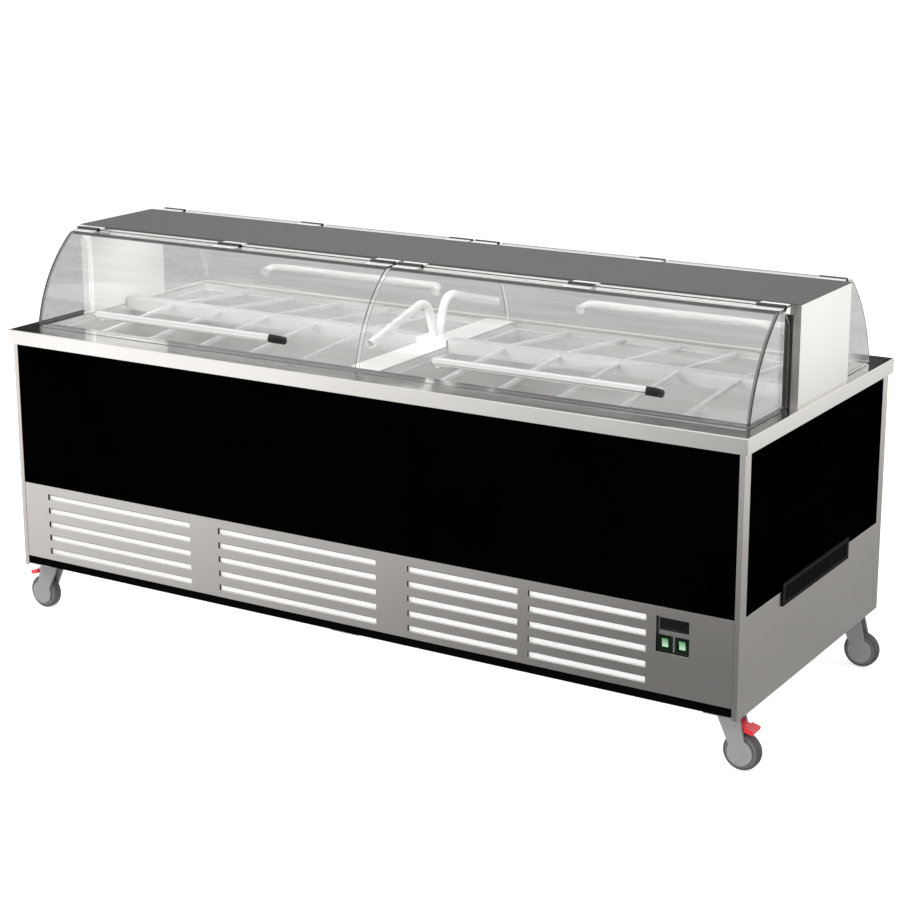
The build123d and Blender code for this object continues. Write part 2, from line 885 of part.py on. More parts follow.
def cover(sx, sy):
    """Clear cover: a bowed sheet with a flange along its top and a cheek at its outer end."""
    ends = towards(sx, cover_near_x, cover_far_x)
    hollow_ends = towards(sx, cover_near_x, cover_far_x - cover_thickness)
    inner_radius = bow_radius - cover_thickness
    inner_flange_z = flange_z - cover_thickness
    inner_shoulder_y = bow_at(inner_radius, inner_flange_z)
    below_z = foot_z - cover_thickness
    behind_y = back_y - cover_thickness
    with BuildPart() as shell:
        with BuildSketch(Plane.YZ.offset(ends[0])) as outline:
            with BuildLine():
                Line((sy * leaf_root, flange_z), (sy * shoulder_y, flange_z))
                ThreePointArc(
                    (sy * shoulder_y, flange_z),
                    (sy * (bow_y + bow_out_y * bow_radius), bow_z + bow_out_z * bow_radius),
                    (sy * foot_y, foot_z),
                )
                Polyline(
                    (sy * foot_y, foot_z),
                    (sy * back_y, foot_z),
                    (sy * back_y, flange_z - cover_notch),
                    (sy * leaf_root, inner_flange_z),
                    (sy * leaf_root, flange_z),
                )
            make_face()
            fillet(outline.vertices().sort_by_distance((sy * shoulder_y, flange_z, 0))[0], cover_bend)
        extrude(amount=ends[1] - ends[0])
        with BuildSketch(Plane.YZ.offset(hollow_ends[0])) as hollow:
            with BuildLine():
                Line((sy * behind_y, inner_flange_z), (sy * inner_shoulder_y, inner_flange_z))
                ThreePointArc(
                    (sy * inner_shoulder_y, inner_flange_z),
                    (sy * (bow_y + bow_out_y * inner_radius), bow_z + bow_out_z * inner_radius),
                    (sy * bow_at(inner_radius, below_z), below_z),
                )
                Polyline(
                    (sy * bow_at(inner_radius, below_z), below_z),
                    (sy * behind_y, below_z),
                    (sy * behind_y, inner_flange_z),
                )
            make_face()
            inner_corner = (sy * inner_shoulder_y, inner_flange_z, 0)
            fillet(hollow.vertices().sort_by_distance(inner_corner)[0], cover_bend - cover_thickness)
        extrude(amount=hollow_ends[1] - hollow_ends[0], mode=Mode.SUBTRACT)
    return shell


# Place of the handles on the curve of the covers
grip_z = foot_z + handle_rise
grip_y = bow_at(bow_radius, grip_z)
grip_out_y = (grip_y - bow_y) / bow_radius
grip_out_z = (grip_z - bow_z) / bow_radius


def handle(sx, sy):
    """Bowed tube handle that stands square on the outside of one cover."""
    ends = (sx * cover_mid_x - handle_length / 2, sx * cover_mid_x + handle_length / 2)
    foot = (sy * grip_y, grip_z)
    bar = (sy * (grip_y + grip_out_y * handle_standoff), grip_z + grip_out_z * handle_standoff)
    with BuildPart() as tube:
        with BuildLine() as route:
            FilletPolyline(
                (ends[0], *foot), (ends[0], *bar), (ends[1], *bar), (ends[1], *foot), radius=handle_bend
            )
        with BuildSketch(Plane(origin=route.line @ 0, z_dir=route.line % 0)):
            Circle(handle_radius)
            Circle(handle_radius - handle_wall, mode=Mode.SUBTRACT)
        sweep()
    return tube


# Four covers with their handles and hinge leaves
for place, (sx, sy) in corners.items():
    glass = cover(sx, sy)
    glass.part.label = "cover_" + place
    export_step(glass.part, "parts/cover_" + place + ".step")
    grip = handle(sx, sy)
    grip.part.label = "handle_" + place
    export_step(grip.part, "parts/handle_" + place + ".step")
    leaves = cover_leaves(sx, sy)
    leaves.part.label = "hinge_leaves_" + place
    export_step(leaves.part, "parts/hinge_leaves_" + place + ".step")

# Castor plates with their kingpins, and the bolts that hold them to the beams
plate_under_z = castor_height - castor_plate_sheet
crown_top_z = plate_under_z - swivel_gap
crown_under_z = crown_top_z - crown_height
kingpin_head_z = crown_under_z - swivel_gap
upwards = (Align.CENTER, Align.CENTER, Align.MIN)
downwards = (Align.CENTER, Align.CENTER, Align.MAX)
with BuildPart() as castor_plates:
    with BuildSketch(Plane.XY.offset(plate_under_z)):
        with Locations(*castor_places):
            RectangleRounded(castor_plate_length, castor_plate_width, castor_plate_corner)
            with GridLocations(bolt_spacing_x, bolt_spacing_y, 2, 2):
                Circle(bolt_radius + seat_clearance, mode=Mode.SUBTRACT)
    extrude(amount=castor_plate_sheet)
    with Locations(*[(x, y, plate_under_z) for x, y in castor_places]):
        Cylinder(kingpin_radius, plate_under_z - kingpin_head_z, align=downwards)
    with Locations(*[(x, y, kingpin_head_z) for x, y in castor_places]):
        Cylinder(kingpin_head_radius, kingpin_head_height, align=downwards)
castor_plates.part.label = "castor_plates"
export_step(castor_plates.part, "parts/castor_plates.step")

with BuildPart() as castor_bolts:
    with BuildSketch(Plane.XY.offset(plate_under_z)):
        with Locations(*castor_places):
            with GridLocations(bolt_spacing_x, bolt_spacing_y, 2, 2):
                RegularPolygon(bolt_head / 2, 6, major_radius=False)
    extrude(amount=-bolt_head_height)
    with BuildSketch(Plane.XY.offset(plate_under_z)):
        with Locations(*castor_places):
            with GridLocations(bolt_spacing_x, bolt_spacing_y, 2, 2):
                Circle(bolt_radius)
    extrude(amount=castor_plate_sheet + beam_wall)
castor_bolts.part.label = "castor_bolts"
export_step(castor_bolts.part, "parts/castor_bolts.step")

# Wheel and pedal places seen from the kingpin, out towards the end of the counter
fork_gap = wheel_width + 2 * wheel_side_gap
pedal_z = crown_under_z - pedal_pivot_drop


def castor_fork(sx, sy, braked):
    """Fork with round thread guards, its axle and, on a braked castor, the pin of the pedal."""
    x = sx * castor_x
    y = sy * castor_y
    axle_x = x + sx * castor_trail
    pedal_x = x + sx * pedal_pivot_reach
    with BuildPart() as fork:
        with BuildSketch(Plane.XZ.offset(-y)):
            with Locations((axle_x, wheel_radius)):
                Circle(axle_boss)
            with Locations((x, crown_top_z - crown_height / 2)):
                Rectangle(2 * crown_radius, crown_height)
            make_hull()
            with Locations((axle_x, wheel_radius)):
                Circle(guard_radius)
        extrude(amount=fork_width / 2, both=True)
        with Locations((x, y, crown_top_z)):
            Cylinder(crown_radius, crown_height, align=downwards)
        block(
            both(half_length + castor_trail + wheel_radius),
            (y - fork_gap / 2, y + fork_gap / 2),
            (0, crown_under_z),
            Mode.SUBTRACT,
        )
        with Locations((x, y, crown_top_z)):
            Cylinder(kingpin_radius + running_clearance, crown_height, align=downwards, mode=Mode.SUBTRACT)
        with Locations((axle_x, y, wheel_radius)):
            Cylinder(axle_radius + seat_clearance, fork_width, rotation=(90, 0, 0), mode=Mode.SUBTRACT)
            Cylinder(axle_radius, fork_width, rotation=(90, 0, 0))
        if braked:
            with Locations((pedal_x, y, pedal_z)):
                Cylinder(
                    pedal_pin_radius + seat_clearance, fork_width, rotation=(90, 0, 0), mode=Mode.SUBTRACT
                )
                Cylinder(pedal_pin_radius, fork_width, rotation=(90, 0, 0))
    return fork


def castor_wheel(sx, sy):
    """Wheel turned about its axle: hub, sunk web and rounded tyre."""
    side = wheel_width / 2
    axle = Plane(
        origin=(sx * (castor_x + castor_trail), sy * castor_y, wheel_radius),
        x_dir=(1, 0, 0),
        z_dir=(0, 0, 1),
    )
    with BuildPart() as wheel:
        with BuildSketch(axle) as half:
            with BuildLine():
                Polyline(
                    (axle_radius + running_clearance, -side),
                    (hub_radius, -side),
                    (hub_radius, rim_recess - side),
                    (rim_radius, rim_recess - side),
                    (rim_radius, -side),
                    (wheel_radius, -side),
                    (wheel_radius, side),
                    (rim_radius, side),
                    (rim_radius, side - rim_recess),
                    (hub_radius, side - rim_recess),
                    (hub_radius, side),
                    (axle_radius + running_clearance, side),
                    close=True,
                )
            make_face()
            fillet(half.vertices().group_by(Axis.X)[-1], tread_round)
        revolve(axis=Axis(axle.origin, (0, 1, 0)))
    return wheel


def brake_pedal(sx, sy):
    """Foot pedal on its pin between the arms of the fork, in the released position."""
    y = sy * castor_y
    pivot = (sx * (castor_x + pedal_pivot_reach), y, pedal_z)
    slope = radians(pedal_slope)
    lever = Plane(origin=pivot, x_dir=(sx * cos(slope), 0, -sin(slope)), z_dir=(0, -sx, 0))
    with BuildPart() as pedal:
        with BuildSketch(lever):
            Circle(pedal_boss)
            with Locations((pedal_arm_length, 0)):
                Circle(pedal_thickness / 2)
            make_hull()
        extrude(amount=pedal_arm_width / 2, both=True)
        with BuildSketch(lever):
            with Locations((pedal_arm_length + pedal_length / 2, 0)):
                RectangleRounded(pedal_length, pedal_thickness, pedal_corner)
        extrude(amount=pedal_width / 2, both=True)
        with Locations(pivot):
            Cylinder(
                pedal_pin_radius + running_clearance,
                pedal_arm_width,
                rotation=(90, 0, 0),
                mode=Mode.SUBTRACT,
            )
    return pedal


# Four castors, the two at the front with a brake
for place, (sx, sy) in corners.items():
    braked = sy < 0
    fork = castor_fork(sx, sy, braked)
    fork.part.label = "castor_fork_" + place
    export_step(fork.part, "parts/castor_fork_" + place + ".step")
    wheel = castor_wheel(sx, sy)
    wheel.part.label = "castor_wheel_" + place
    export_step(wheel.part, "parts/castor_wheel_" + place + ".step")
    if braked:
        pedal = brake_pedal(sx, sy)
        pedal.part.label = "brake_pedal_" + place
        export_step(pedal.part, "parts/brake_pedal_" + place + ".step")

# Condenser on the tray behind the third group of slots
condenser_x = louvres[2][0]
condenser_front_y = condenser_setback - inner_y
condenser_back_y = condenser_front_y + condenser_depth
condenser_top_z = floor_z + condenser_height
condenser_span = (condenser_x - condenser_length / 2, condenser_x + condenser_length / 2)
fins = int((condenser_length - 2 * condenser_plate) / fin_spacing)
with BuildPart() as condenser:
    block(condenser_span, (condenser_front_y, condenser_back_y), (floor_z, condenser_top_z))
    with BuildSketch(Plane.XZ.offset(-condenser_front_y)):
        with Locations((condenser_x, floor_z + condenser_height / 2)):
            with GridLocations(fin_spacing, 0, fins, 1):
                Rectangle(fin_gap, condenser_height - 2 * condenser_plate)
    extrude(amount=-fin_depth, mode=Mode.SUBTRACT)
condenser.part.label = "condenser"
export_step(condenser.part, "parts/condenser.step")

# Fan behind the condenser: shroud, motor on its foot, and rotor on the shaft
fan_z = floor_z + condenser_height / 2
shroud_hole = fan_radius + fan_tip_gap
shroud_plane = Plane(origin=(condenser_x, condenser_back_y, fan_z), x_dir=(1, 0, 0), z_dir=(0, 1, 0))
with BuildPart() as fan_shroud:
    with BuildSketch(shroud_plane):
        Rectangle(condenser_length, condenser_height)
        Circle(shroud_hole, mode=Mode.SUBTRACT)
    extrude(amount=shroud_sheet)
    with BuildSketch(shroud_plane):
        Circle(shroud_hole + shroud_wall)
        Circle(shroud_hole, mode=Mode.SUBTRACT)
    extrude(amount=shroud_sheet + shroud_collar)
fan_shroud.part.label = "fan_shroud"
export_step(fan_shroud.part, "parts/fan_shroud.step")

rotor_plane = shroud_plane.offset(fan_gap + fan_hub_length / 2)
blade_length = fan_radius - fan_hub_radius + fan_blade_sheet
with BuildPart(rotor_plane) as fan_rotor:
    Cylinder(fan_hub_radius, fan_hub_length)
    with PolarLocations(fan_radius - blade_length / 2, fan_blades):
        Box(blade_length, fan_blade_width, fan_blade_sheet, rotation=(fan_blade_angle, 0, 0))
    Cylinder(shaft_radius + running_clearance, fan_hub_length, mode=Mode.SUBTRACT)
fan_rotor.part.label = "fan_rotor"
export_step(fan_rotor.part, "parts/fan_rotor.step")

motor_plane = rotor_plane.offset(fan_hub_length / 2 + motor_gap)
motor_y = motor_plane.origin.Y
with BuildPart() as fan_motor:
    with BuildSketch(motor_plane):
        Circle(motor_radius)
    extrude(amount=motor_length)
    with BuildSketch(motor_plane):
        Circle(shaft_radius)
    extrude(amount=-fan_hub_length - motor_gap)
    block(
        (condenser_x - motor_foot_width / 2, condenser_x + motor_foot_width / 2),
        (motor_y + motor_gap, motor_y + motor_length - motor_gap),
        (floor_z, fan_z),
    )
fan_motor.part.label = "fan_motor"
export_step(fan_motor.part, "parts/fan_motor.step")

# Hermetic compressor on four feet
compressor_x = body_x - compressor_inset
compressor_plate_z = floor_z + compressor_foot_height
compressor_z = compressor_plate_z + compressor_plate_sheet
compressor_top_z = compressor_z + compressor_height
foot_spacing = compressor_plate_size - 2 * compressor_foot_radius
with BuildPart() as compressor:
    with Locations((compressor_x, compressor_setback, compressor_z)):
        Cylinder(compressor_radius, compressor_height, align=upwards)
    fillet(compressor.edges().filter_by(GeomType.CIRCLE), compressor_round)
    with Locations((compressor_x, compressor_setback, compressor_plate_z)):
        Box(compressor_plate_size, compressor_plate_size, compressor_plate_sheet, align=upwards)
        with GridLocations(foot_spacing, foot_spacing, 2, 2):
            Cylinder(compressor_foot_radius, compressor_foot_height, align=downwards)
compressor.part.label = "compressor"
export_step(compressor.part, "parts/compressor.step")


def coil_route(sx):
    """Corners of the tube of one evaporator, from its first stub to its last."""
    far = well_end - ledge_width - evaporator_inset
    route = [(sx * coil_x, -coil_y, stub_z), (sx * coil_x, -coil_y, coil_z)]
    for run in range(evaporator_runs - 1):
        turn = far if run % 2 == 0 else coil_x + evaporator_step
        y = run * evaporator_spacing - coil_y
        route.append((sx * turn, y, coil_z))
        route.append((sx * turn, y + evaporator_spacing, coil_z))
    route.append((sx * coil_x, coil_y, coil_z))
    route.append((sx * coil_x, coil_y, stub_z))
    return route


# Refrigerant circuit: condenser, left coil, right coil, compressor and back to the condenser
crossing_z = stub_z - crossing_drop
suction_z = stub_z - suction_drop
discharge_z = condenser_top_z + discharge_rise
condenser_mid_y = condenser_front_y + condenser_depth / 2
liquid_x = condenser_span[0] - liquid_reach
liquid_z = floor_z + liquid_rise
suction_x = compressor_x - port_offset
discharge_x = compressor_x + port_offset
coil_routes = [coil_route(-1), coil_route(1)]
pipe_routes = [
    [
        (condenser_span[0], condenser_mid_y, liquid_z),
        (liquid_x, condenser_mid_y, liquid_z),
        (liquid_x, condenser_mid_y, crossing_z),
        (-coil_x, condenser_mid_y, crossing_z),
        (-coil_x, -coil_y, crossing_z),
        (-coil_x, -coil_y, stub_z),
    ],
    [
        (-coil_x, coil_y, stub_z),
        (-coil_x, coil_y, crossing_z),
        (0, coil_y, crossing_z),
        (0, -coil_y, crossing_z),
        (coil_x, -coil_y, crossing_z),
        (coil_x, -coil_y, stub_z),
    ],
    [
        (coil_x, coil_y, stub_z),
        (coil_x, coil_y, suction_z),
        (suction_x, coil_y, suction_z),
        (suction_x, compressor_setback, suction_z),
        (suction_x, compressor_setback, compressor_top_z),
    ],
    [
        (discharge_x, compressor_setback, compressor_top_z),
        (discharge_x, compressor_setback, discharge_z),
        (discharge_x, condenser_mid_y, discharge_z),
        (condenser_x, condenser_mid_y, discharge_z),
        (condenser_x, condenser_mid_y, condenser_top_z),
    ],
]
tube_runs = [(route, coil_bend) for route in coil_routes] + [(route, pipe_bend) for route in pipe_routes]
with BuildPart() as refrigerant_pipes:
    for route, bend in tube_runs:
        with BuildLine() as tube_line:
            FilletPolyline(*route, radius=bend)
        with BuildSketch(Plane(origin=tube_line.line @ 0, z_dir=tube_line.line % 0)):
            Circle(pipe_radius)
        sweep()
refrigerant_pipes.part.label = "refrigerant_pipes"
export_step(refrigerant_pipes.part, "parts/refrigerant_pipes.step")

# Electrical box on the back of the front black panel, above the controls
box_y = black_panel_thickness - face_y
box_z = seam_z + electrical_box_lift
box_span = (control_x - electrical_box_length / 2, control_x + electrical_box_length / 2)
with BuildPart() as electrical_box:
    block(box_span, (box_y, box_y + electrical_box_depth), (box_z, box_z + electrical_box_height))
    block(
        (box_span[0] + control_wall, box_span[1] - control_wall),
        (box_y, box_y + electrical_box_depth - control_wall),
        (box_z + control_wall, box_z + electrical_box_height - control_wall),
        Mode.SUBTRACT,
    )
electrical_box.part.label = "electrical_box"
export_step(electrical_box.part, "parts/electrical_box.step")

# Mains gland in the rear panel: hexagon outside, locknut inside
gland_plane = Plane(origin=(gland_x, face_y, gland_z), x_dir=(1, 0, 0), z_dir=(0, 1, 0))
with BuildPart() as cable_gland:
    with BuildSketch(gland_plane):
        RegularPolygon(gland_hex, 6)
    extrude(amount=gland_hex_height)
    with BuildSketch(gland_plane):
        Circle(gland_radius)
    extrude(amount=gland_hex_height + gland_dome)
    with BuildSketch(gland_plane):
        Circle(gland_radius)
    extrude(amount=-lower_panel_sheet - gland_dome)
    with BuildSketch(gland_plane.offset(-lower_panel_sheet)):
        RegularPolygon(gland_hex, 6)
    extrude(amount=-gland_hex_height)
    with BuildSketch(gland_plane.offset(gland_hex_height + gland_dome)):
        Circle(gland_bore)
    extrude(amount=-lower_panel_sheet - gland_hex_height - 2 * gland_dome, mode=Mode.SUBTRACT)
cable_gland.part.label = "cable_gland"
export_step(cable_gland.part, "parts/cable_gland.step")
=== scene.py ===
# %% [markdown]
# # A mobile buffet counter, dressed for its portrait
# The counter comes in as a fixed frame: every piece already has its real size and place, in metres.
# This lesson gives those pieces their finishes, models the ones whose roundings and pressings catch the
# light, and sets up the camera and the studio. It starts by loading the frame and noting how large the
# counter is.

# %% Load the frame
import json
import math

import bmesh
import bpy
from mathutils import Matrix, Vector

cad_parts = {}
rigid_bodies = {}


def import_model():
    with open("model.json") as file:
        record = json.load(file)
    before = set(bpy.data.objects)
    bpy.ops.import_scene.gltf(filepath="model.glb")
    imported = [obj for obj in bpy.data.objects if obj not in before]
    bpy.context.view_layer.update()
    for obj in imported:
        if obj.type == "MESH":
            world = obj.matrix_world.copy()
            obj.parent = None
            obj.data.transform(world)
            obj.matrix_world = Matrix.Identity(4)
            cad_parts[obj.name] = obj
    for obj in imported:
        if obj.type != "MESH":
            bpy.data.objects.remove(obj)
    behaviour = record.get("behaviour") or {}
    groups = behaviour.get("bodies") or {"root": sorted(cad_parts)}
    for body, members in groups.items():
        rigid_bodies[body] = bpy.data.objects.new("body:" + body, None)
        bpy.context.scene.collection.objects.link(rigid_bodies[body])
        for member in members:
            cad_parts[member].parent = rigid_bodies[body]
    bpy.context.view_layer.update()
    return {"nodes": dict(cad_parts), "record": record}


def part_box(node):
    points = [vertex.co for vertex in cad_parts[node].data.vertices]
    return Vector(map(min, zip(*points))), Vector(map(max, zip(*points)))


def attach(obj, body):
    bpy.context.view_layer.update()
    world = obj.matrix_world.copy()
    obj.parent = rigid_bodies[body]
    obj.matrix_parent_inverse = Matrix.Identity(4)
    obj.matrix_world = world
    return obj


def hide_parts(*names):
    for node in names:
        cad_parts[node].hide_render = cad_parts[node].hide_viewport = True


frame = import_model()
nodes = frame["nodes"]
corners = {"front_left": (-1, -1), "front_right": (1, -1), "rear_left": (-1, 1), "rear_right": (1, 1)}

# %% [markdown]
# ## Camera
# The picture was taken from above the front right corner with a fairly long lens. The position, the
# direction and the lens were solved from the counter's straight edges. The lens axis meets the picture
# a little above its middle, and a small vertical shift says so.

# %% Camera
camera_place = Vector((3.077, -4.925, 2.191))
camera_direction = Vector((-0.5077, 0.8242, -0.2508))
camera_roll = math.radians(-0.14)
camera_data = bpy.data.cameras.new("portrait_camera")
camera_data.sensor_width = 36.0
camera_data.lens = 84.19
camera_data.shift_y = -0.047
camera = bpy.data.objects.new("portrait_camera", camera_data)
bpy.context.scene.collection.objects.link(camera)
camera.location = camera_place
turn = camera_direction.to_track_quat("-Z", "Y").to_matrix()
camera.rotation_euler = (turn @ Matrix.Rotation(camera_roll, 3, "Z")).to_euler()
bpy.context.scene.camera = camera
bpy.context.scene.view_settings.view_transform = "Standard"
print("camera at", tuple(camera_place))

# %% [markdown]
# ## Studio
# A large pale floor and an even pale surround give the white page of a catalogue picture. The floor is
# an ordinary matt surface, so the counter's shadow stays on it; towards the camera it also gives out a
# little light of its own, which lifts it to white. Mirrors and clear sheets see the same white. Floor,
# surround and finishes are node trees, so the helpers that build and wire nodes come first.

# %% Helpers for nodes
def wire(tree, node, inputs):
    """Set inputs of a node to values, or link those that are given another node's output."""
    for label, source in inputs.items():
        if isinstance(source, bpy.types.NodeSocket):
            tree.links.new(source, node.inputs[label])
        else:
            node.inputs[label].default_value = source
    return node


def add_node(tree, kind, inputs, **settings):
    """New shader node with its settings, wired up."""
    node = tree.nodes.new("ShaderNode" + kind)
    for label, value in settings.items():
        setattr(node, label, value)
    return wire(tree, node, inputs)


def finish(name, metallic=0.0, specular=0.5):
    """New material with its tree and its Principled shader."""
    material = bpy.data.materials.new(name)
    material.use_nodes = True
    tree = material.node_tree
    shader = wire(
        tree, tree.nodes["Principled BSDF"], {"Metallic": metallic, "Specular IOR Level": specular}
    )
    return material, tree, shader


def place_on(tree):
    """Place on the piece, in its own metres."""
    return add_node(tree, "TexCoord", {}).outputs["Object"]


def place_along(tree, axis):
    """Place along one axis of the piece."""
    return add_node(tree, "SeparateXYZ", {"Vector": place_on(tree)}).outputs[axis]


def white_page(tree):
    """Mask that is 1 for rays that show the background: from the camera, mirrored or seen through."""
    rays = add_node(tree, "LightPath", {}).outputs
    bounced = add_node(
        tree, "Math", {0: rays["Is Glossy Ray"], 1: rays["Is Transmission Ray"]}, operation="MAXIMUM"
    )
    seen = {0: rays["Is Camera Ray"], 1: bounced.outputs[0]}
    return add_node(tree, "Math", seen, operation="MAXIMUM").outputs[0]


print("helpers for nodes ready")

# %% Floor
floor_size = 60
floor_white = 0.85
floor_glow = 0.66
bpy.ops.object.select_all(action="DESELECT")
bpy.ops.mesh.primitive_plane_add(size=floor_size, location=(0, 0, 0))
floor = bpy.context.object
floor.name = "studio_floor"
floor_finish, floor_tree, floor_shader = finish("studio_floor", specular=0.0)
lift = add_node(floor_tree, "Math", {0: white_page(floor_tree), 1: floor_glow}, operation="MULTIPLY")
wire(floor_tree, floor_shader, {
    "Base Color": (floor_white, floor_white, floor_white, 1), "Roughness": 1.0,
    "Emission Color": (1, 1, 1, 1), "Emission Strength": lift.outputs[0],
})
floor.data.materials.append(floor_finish)
print("floor:", floor_size, "m wide")

# %% Surround
room_light = 0.45
page_light = 1.0
world = bpy.data.worlds.new("studio_surround")
bpy.context.scene.world = world
world.use_nodes = True
world_tree = world.node_tree
light_range = {"To Min": room_light, "To Max": page_light, "Value": white_page(world_tree)}
level = add_node(world_tree, "MapRange", light_range).outputs["Result"]
wire(world_tree, world_tree.nodes["Background"], {"Color": (1, 1, 1, 1), "Strength": level})
print("surround: lights with", room_light, "and shows", page_light)

# %% [markdown]
# ## Lamps
# Four large softboxes give soft shadows. Three strips under the canopy light what it would leave dark:
# the wells, the left column and the rear handles. Mirrors do not show the lamps, because a bright
# square in the worktop would read as a hole in it.

# %% Lamps
def softbox(name, place, aim, size, power, spread=180):
    """Lamp at a place, facing a point, that mirrors do not show."""
    lamp = bpy.data.lights.new(name, "AREA")
    lamp.shape = "RECTANGLE"
    lamp.size, lamp.size_y = size
    lamp.energy = power
    lamp.spread = math.radians(spread)
    box = bpy.data.objects.new(name, lamp)
    bpy.context.scene.collection.objects.link(box)
    box.location = place
    box.rotation_euler = (Vector(aim) - Vector(place)).to_track_quat("-Z", "Y").to_euler()
    box.visible_glossy = False


softbox("key_softbox", (-3.2, -4.0, 4.2), (0, 0, 0.7), (3.0, 3.0), 150)
softbox("top_softbox", (0.3, 0.2, 4.5), (0, 0, 0.8), (4.0, 2.5), 90)
softbox("end_softbox", (4.6, 0.8, 2.6), (0.6, 0, 0.7), (2.0, 2.0), 40)
softbox("front_softbox", (0.6, -5.6, 1.6), (0, 0, 0.5), (4.0, 1.6), 110)
softbox("canopy_strip", (0, 0, 1.108), (0, 0, 0.8), (2.1, 0.28), 3.6)
softbox("column_strip", (-0.7, -0.05, 1.09), (-1.15, 0.0, 1.06), (0.3, 0.05), 0.3, spread=110)
softbox("rear_strip", (0, -0.1, 1.1), (0, 0.42, 0.97), (2.1, 0.05), 1.3, spread=25)
print("lamps set")

# %% [markdown]
# ## Cards
# Polished steel mirrors whatever stands around it, and an all white room would wash it out. So a
# photographer sets up cards that only the metal sees: two on the floor before the front that fall off
# towards the right, one beside the right end, dark ones far behind for the corners of the worktop and
# at the side for the bends of the handles, and a bright one above that draws a line along every tube.
# Clear sheets need the same help: two grey cards behind the counter are seen only through the covers,
# and give them their grey cast.

# %% Cards
def card(name, place, size, turn, ramp, through=False):
    """Card seen only in mirrors, or only through clear sheets, whose brightness runs along X."""
    bpy.ops.object.select_all(action="DESELECT")
    bpy.ops.mesh.primitive_plane_add(size=1, location=place, rotation=turn)
    sheet = bpy.context.object
    sheet.name = name
    sheet.scale = (*size, 1)
    bpy.ops.object.transform_apply(location=True, rotation=True, scale=True)
    paint = bpy.data.materials.new(name)
    paint.use_nodes = True
    tree = paint.node_tree
    run = dict(zip(("From Min", "From Max", "To Min", "To Max"), ramp))
    fall = add_node(tree, "MapRange", {**run, "Value": place_along(tree, "X")})
    glow = add_node(tree, "Emission", {"Strength": fall.outputs["Result"]})
    wire(tree, tree.nodes["Material Output"], {"Surface": glow.outputs["Emission"]})
    sheet.data.materials.append(paint)
    sheet.visible_camera = False
    sheet.visible_diffuse = False
    sheet.visible_glossy = not through
    sheet.visible_transmission = through
    sheet.visible_shadow = False


flat = (0, 0, 0)
upright = (math.radians(90), 0, 0)
card("front_card", (-2.0, -4.2, 0.004), (9.0, 4.0), flat, (-3.2, 0.9, 1.35, 0.3))
card("foot_card", (-2.0, -1.4, 0.004), (9.0, 1.6), flat, (-1.9, 0.5, 0.95, 0.2))
card("end_card", (4.2, 3.0, 0.004), (6.0, 9.0), flat, (1.75, 2.8, 0.36, 1.2))
card("rear_left_card", (-6.6, 4.4, 2.3), (3.2, 2.6), upright, (-8.0, 3.0, 0.03, 0.03))
card("rear_right_card", (0.3, 4.4, 1.85), (1.4, 1.7), upright, (-8.0, 3.0, 0.04, 0.04))
card("side_card", (4.6, -2.6, 0.004), (4.0, 4.4), flat, (2.0, 7.0, 0.03, 0.03))
card("top_card", (-2.2, 0.2, 4.5), (9.0, 2.5), flat, (-7.0, 3.0, 1.3, 1.3))
card("low_backdrop", (-1.5, 2.6, 0.605), (9.0, 1.19), upright, (-6.0, 3.0, 0.82, 0.78), through=True)
card("high_backdrop", (-3.0, 4.4, 2.525), (9.0, 0.95), upright, (-3.9, -2.2, 0.42, 0.2), through=True)
print("cards set")

# %% [markdown]
# ## Shared effects
# Sheet steel shows fine lines from its last polishing pass, paint shows a faint orange peel, and
# everything that is handled carries smudges. Each effect is a node group that puts out masks, so that
# every finish can use it with its own values.

# %% Helpers for effects
def new_group(name, inputs, outputs):
    """Empty node group with the named sockets."""
    group = bpy.data.node_groups.new(name, "ShaderNodeTree")
    for label, kind, value in inputs:
        socket = group.interface.new_socket(label, in_out="INPUT", socket_type=kind)
        socket.default_value = value
    for label in outputs:
        group.interface.new_socket(label, in_out="OUTPUT", socket_type="NodeSocketFloat")
    return group, group.nodes.new("NodeGroupInput"), group.nodes.new("NodeGroupOutput")


def noise(tree, vector, scale, detail, roughness):
    """Noise texture on a vector, with its strength as the value."""
    inputs = {"Vector": vector, "Scale": scale, "Detail": detail, "Roughness": roughness}
    return add_node(tree, "TexNoise", inputs).outputs["Fac"]


def levels(tree, value, low, high):
    """The part of a value between two levels, stretched over 0 to 1."""
    inputs = {"Value": value, "From Min": low, "From Max": high}
    return add_node(tree, "MapRange", inputs).outputs["Result"]


print("helpers for effects ready")

# %% Polishing grain
grain_group, grain_in, grain_out = new_group(
    "polishing_grain", [("Stretch", "NodeSocketVector", (2.0, 60.0, 60.0))], ["Lines", "Smudges"]
)
where = place_on(grain_group)
stretch = {0: where, 1: grain_in.outputs["Stretch"]}
stretched = add_node(grain_group, "VectorMath", stretch, operation="MULTIPLY")
lines = noise(grain_group, stretched.outputs["Vector"], 12.0, 4.0, 0.6)
smudge = noise(grain_group, where, 2.2, 4.0, 0.6)
wire(grain_group, grain_out, {
    "Lines": levels(grain_group, lines, 0.3, 0.7), "Smudges": levels(grain_group, smudge, 0.35, 0.7),
})
print("shared effect:", grain_group.name)

# %% Orange peel
peel_group, peel_in, peel_out = new_group(
    "orange_peel", [("Scale", "NodeSocketFloat", 600.0)], ["Bumps", "Patches"]
)
where = place_on(peel_group)
peel = noise(peel_group, where, peel_in.outputs["Scale"], 2.0, 0.5)
patch = noise(peel_group, where, 3.0, 3.0, 0.55)
wire(peel_group, peel_out, {"Bumps": peel, "Patches": levels(peel_group, patch, 0.3, 0.7)})
print("shared effect:", peel_group.name)

# %% [markdown]
# ## Making a finish
# A finish is one Principled shader. Its colour and its roughness each run between two values under a
# mask, and a bump gives it relief. These helpers build that once.

# %% Helpers for finishes
def effect(tree, group, **values):
    """A shared effect placed in a material, with its own values."""
    return add_node(tree, "Group", values, node_tree=group)


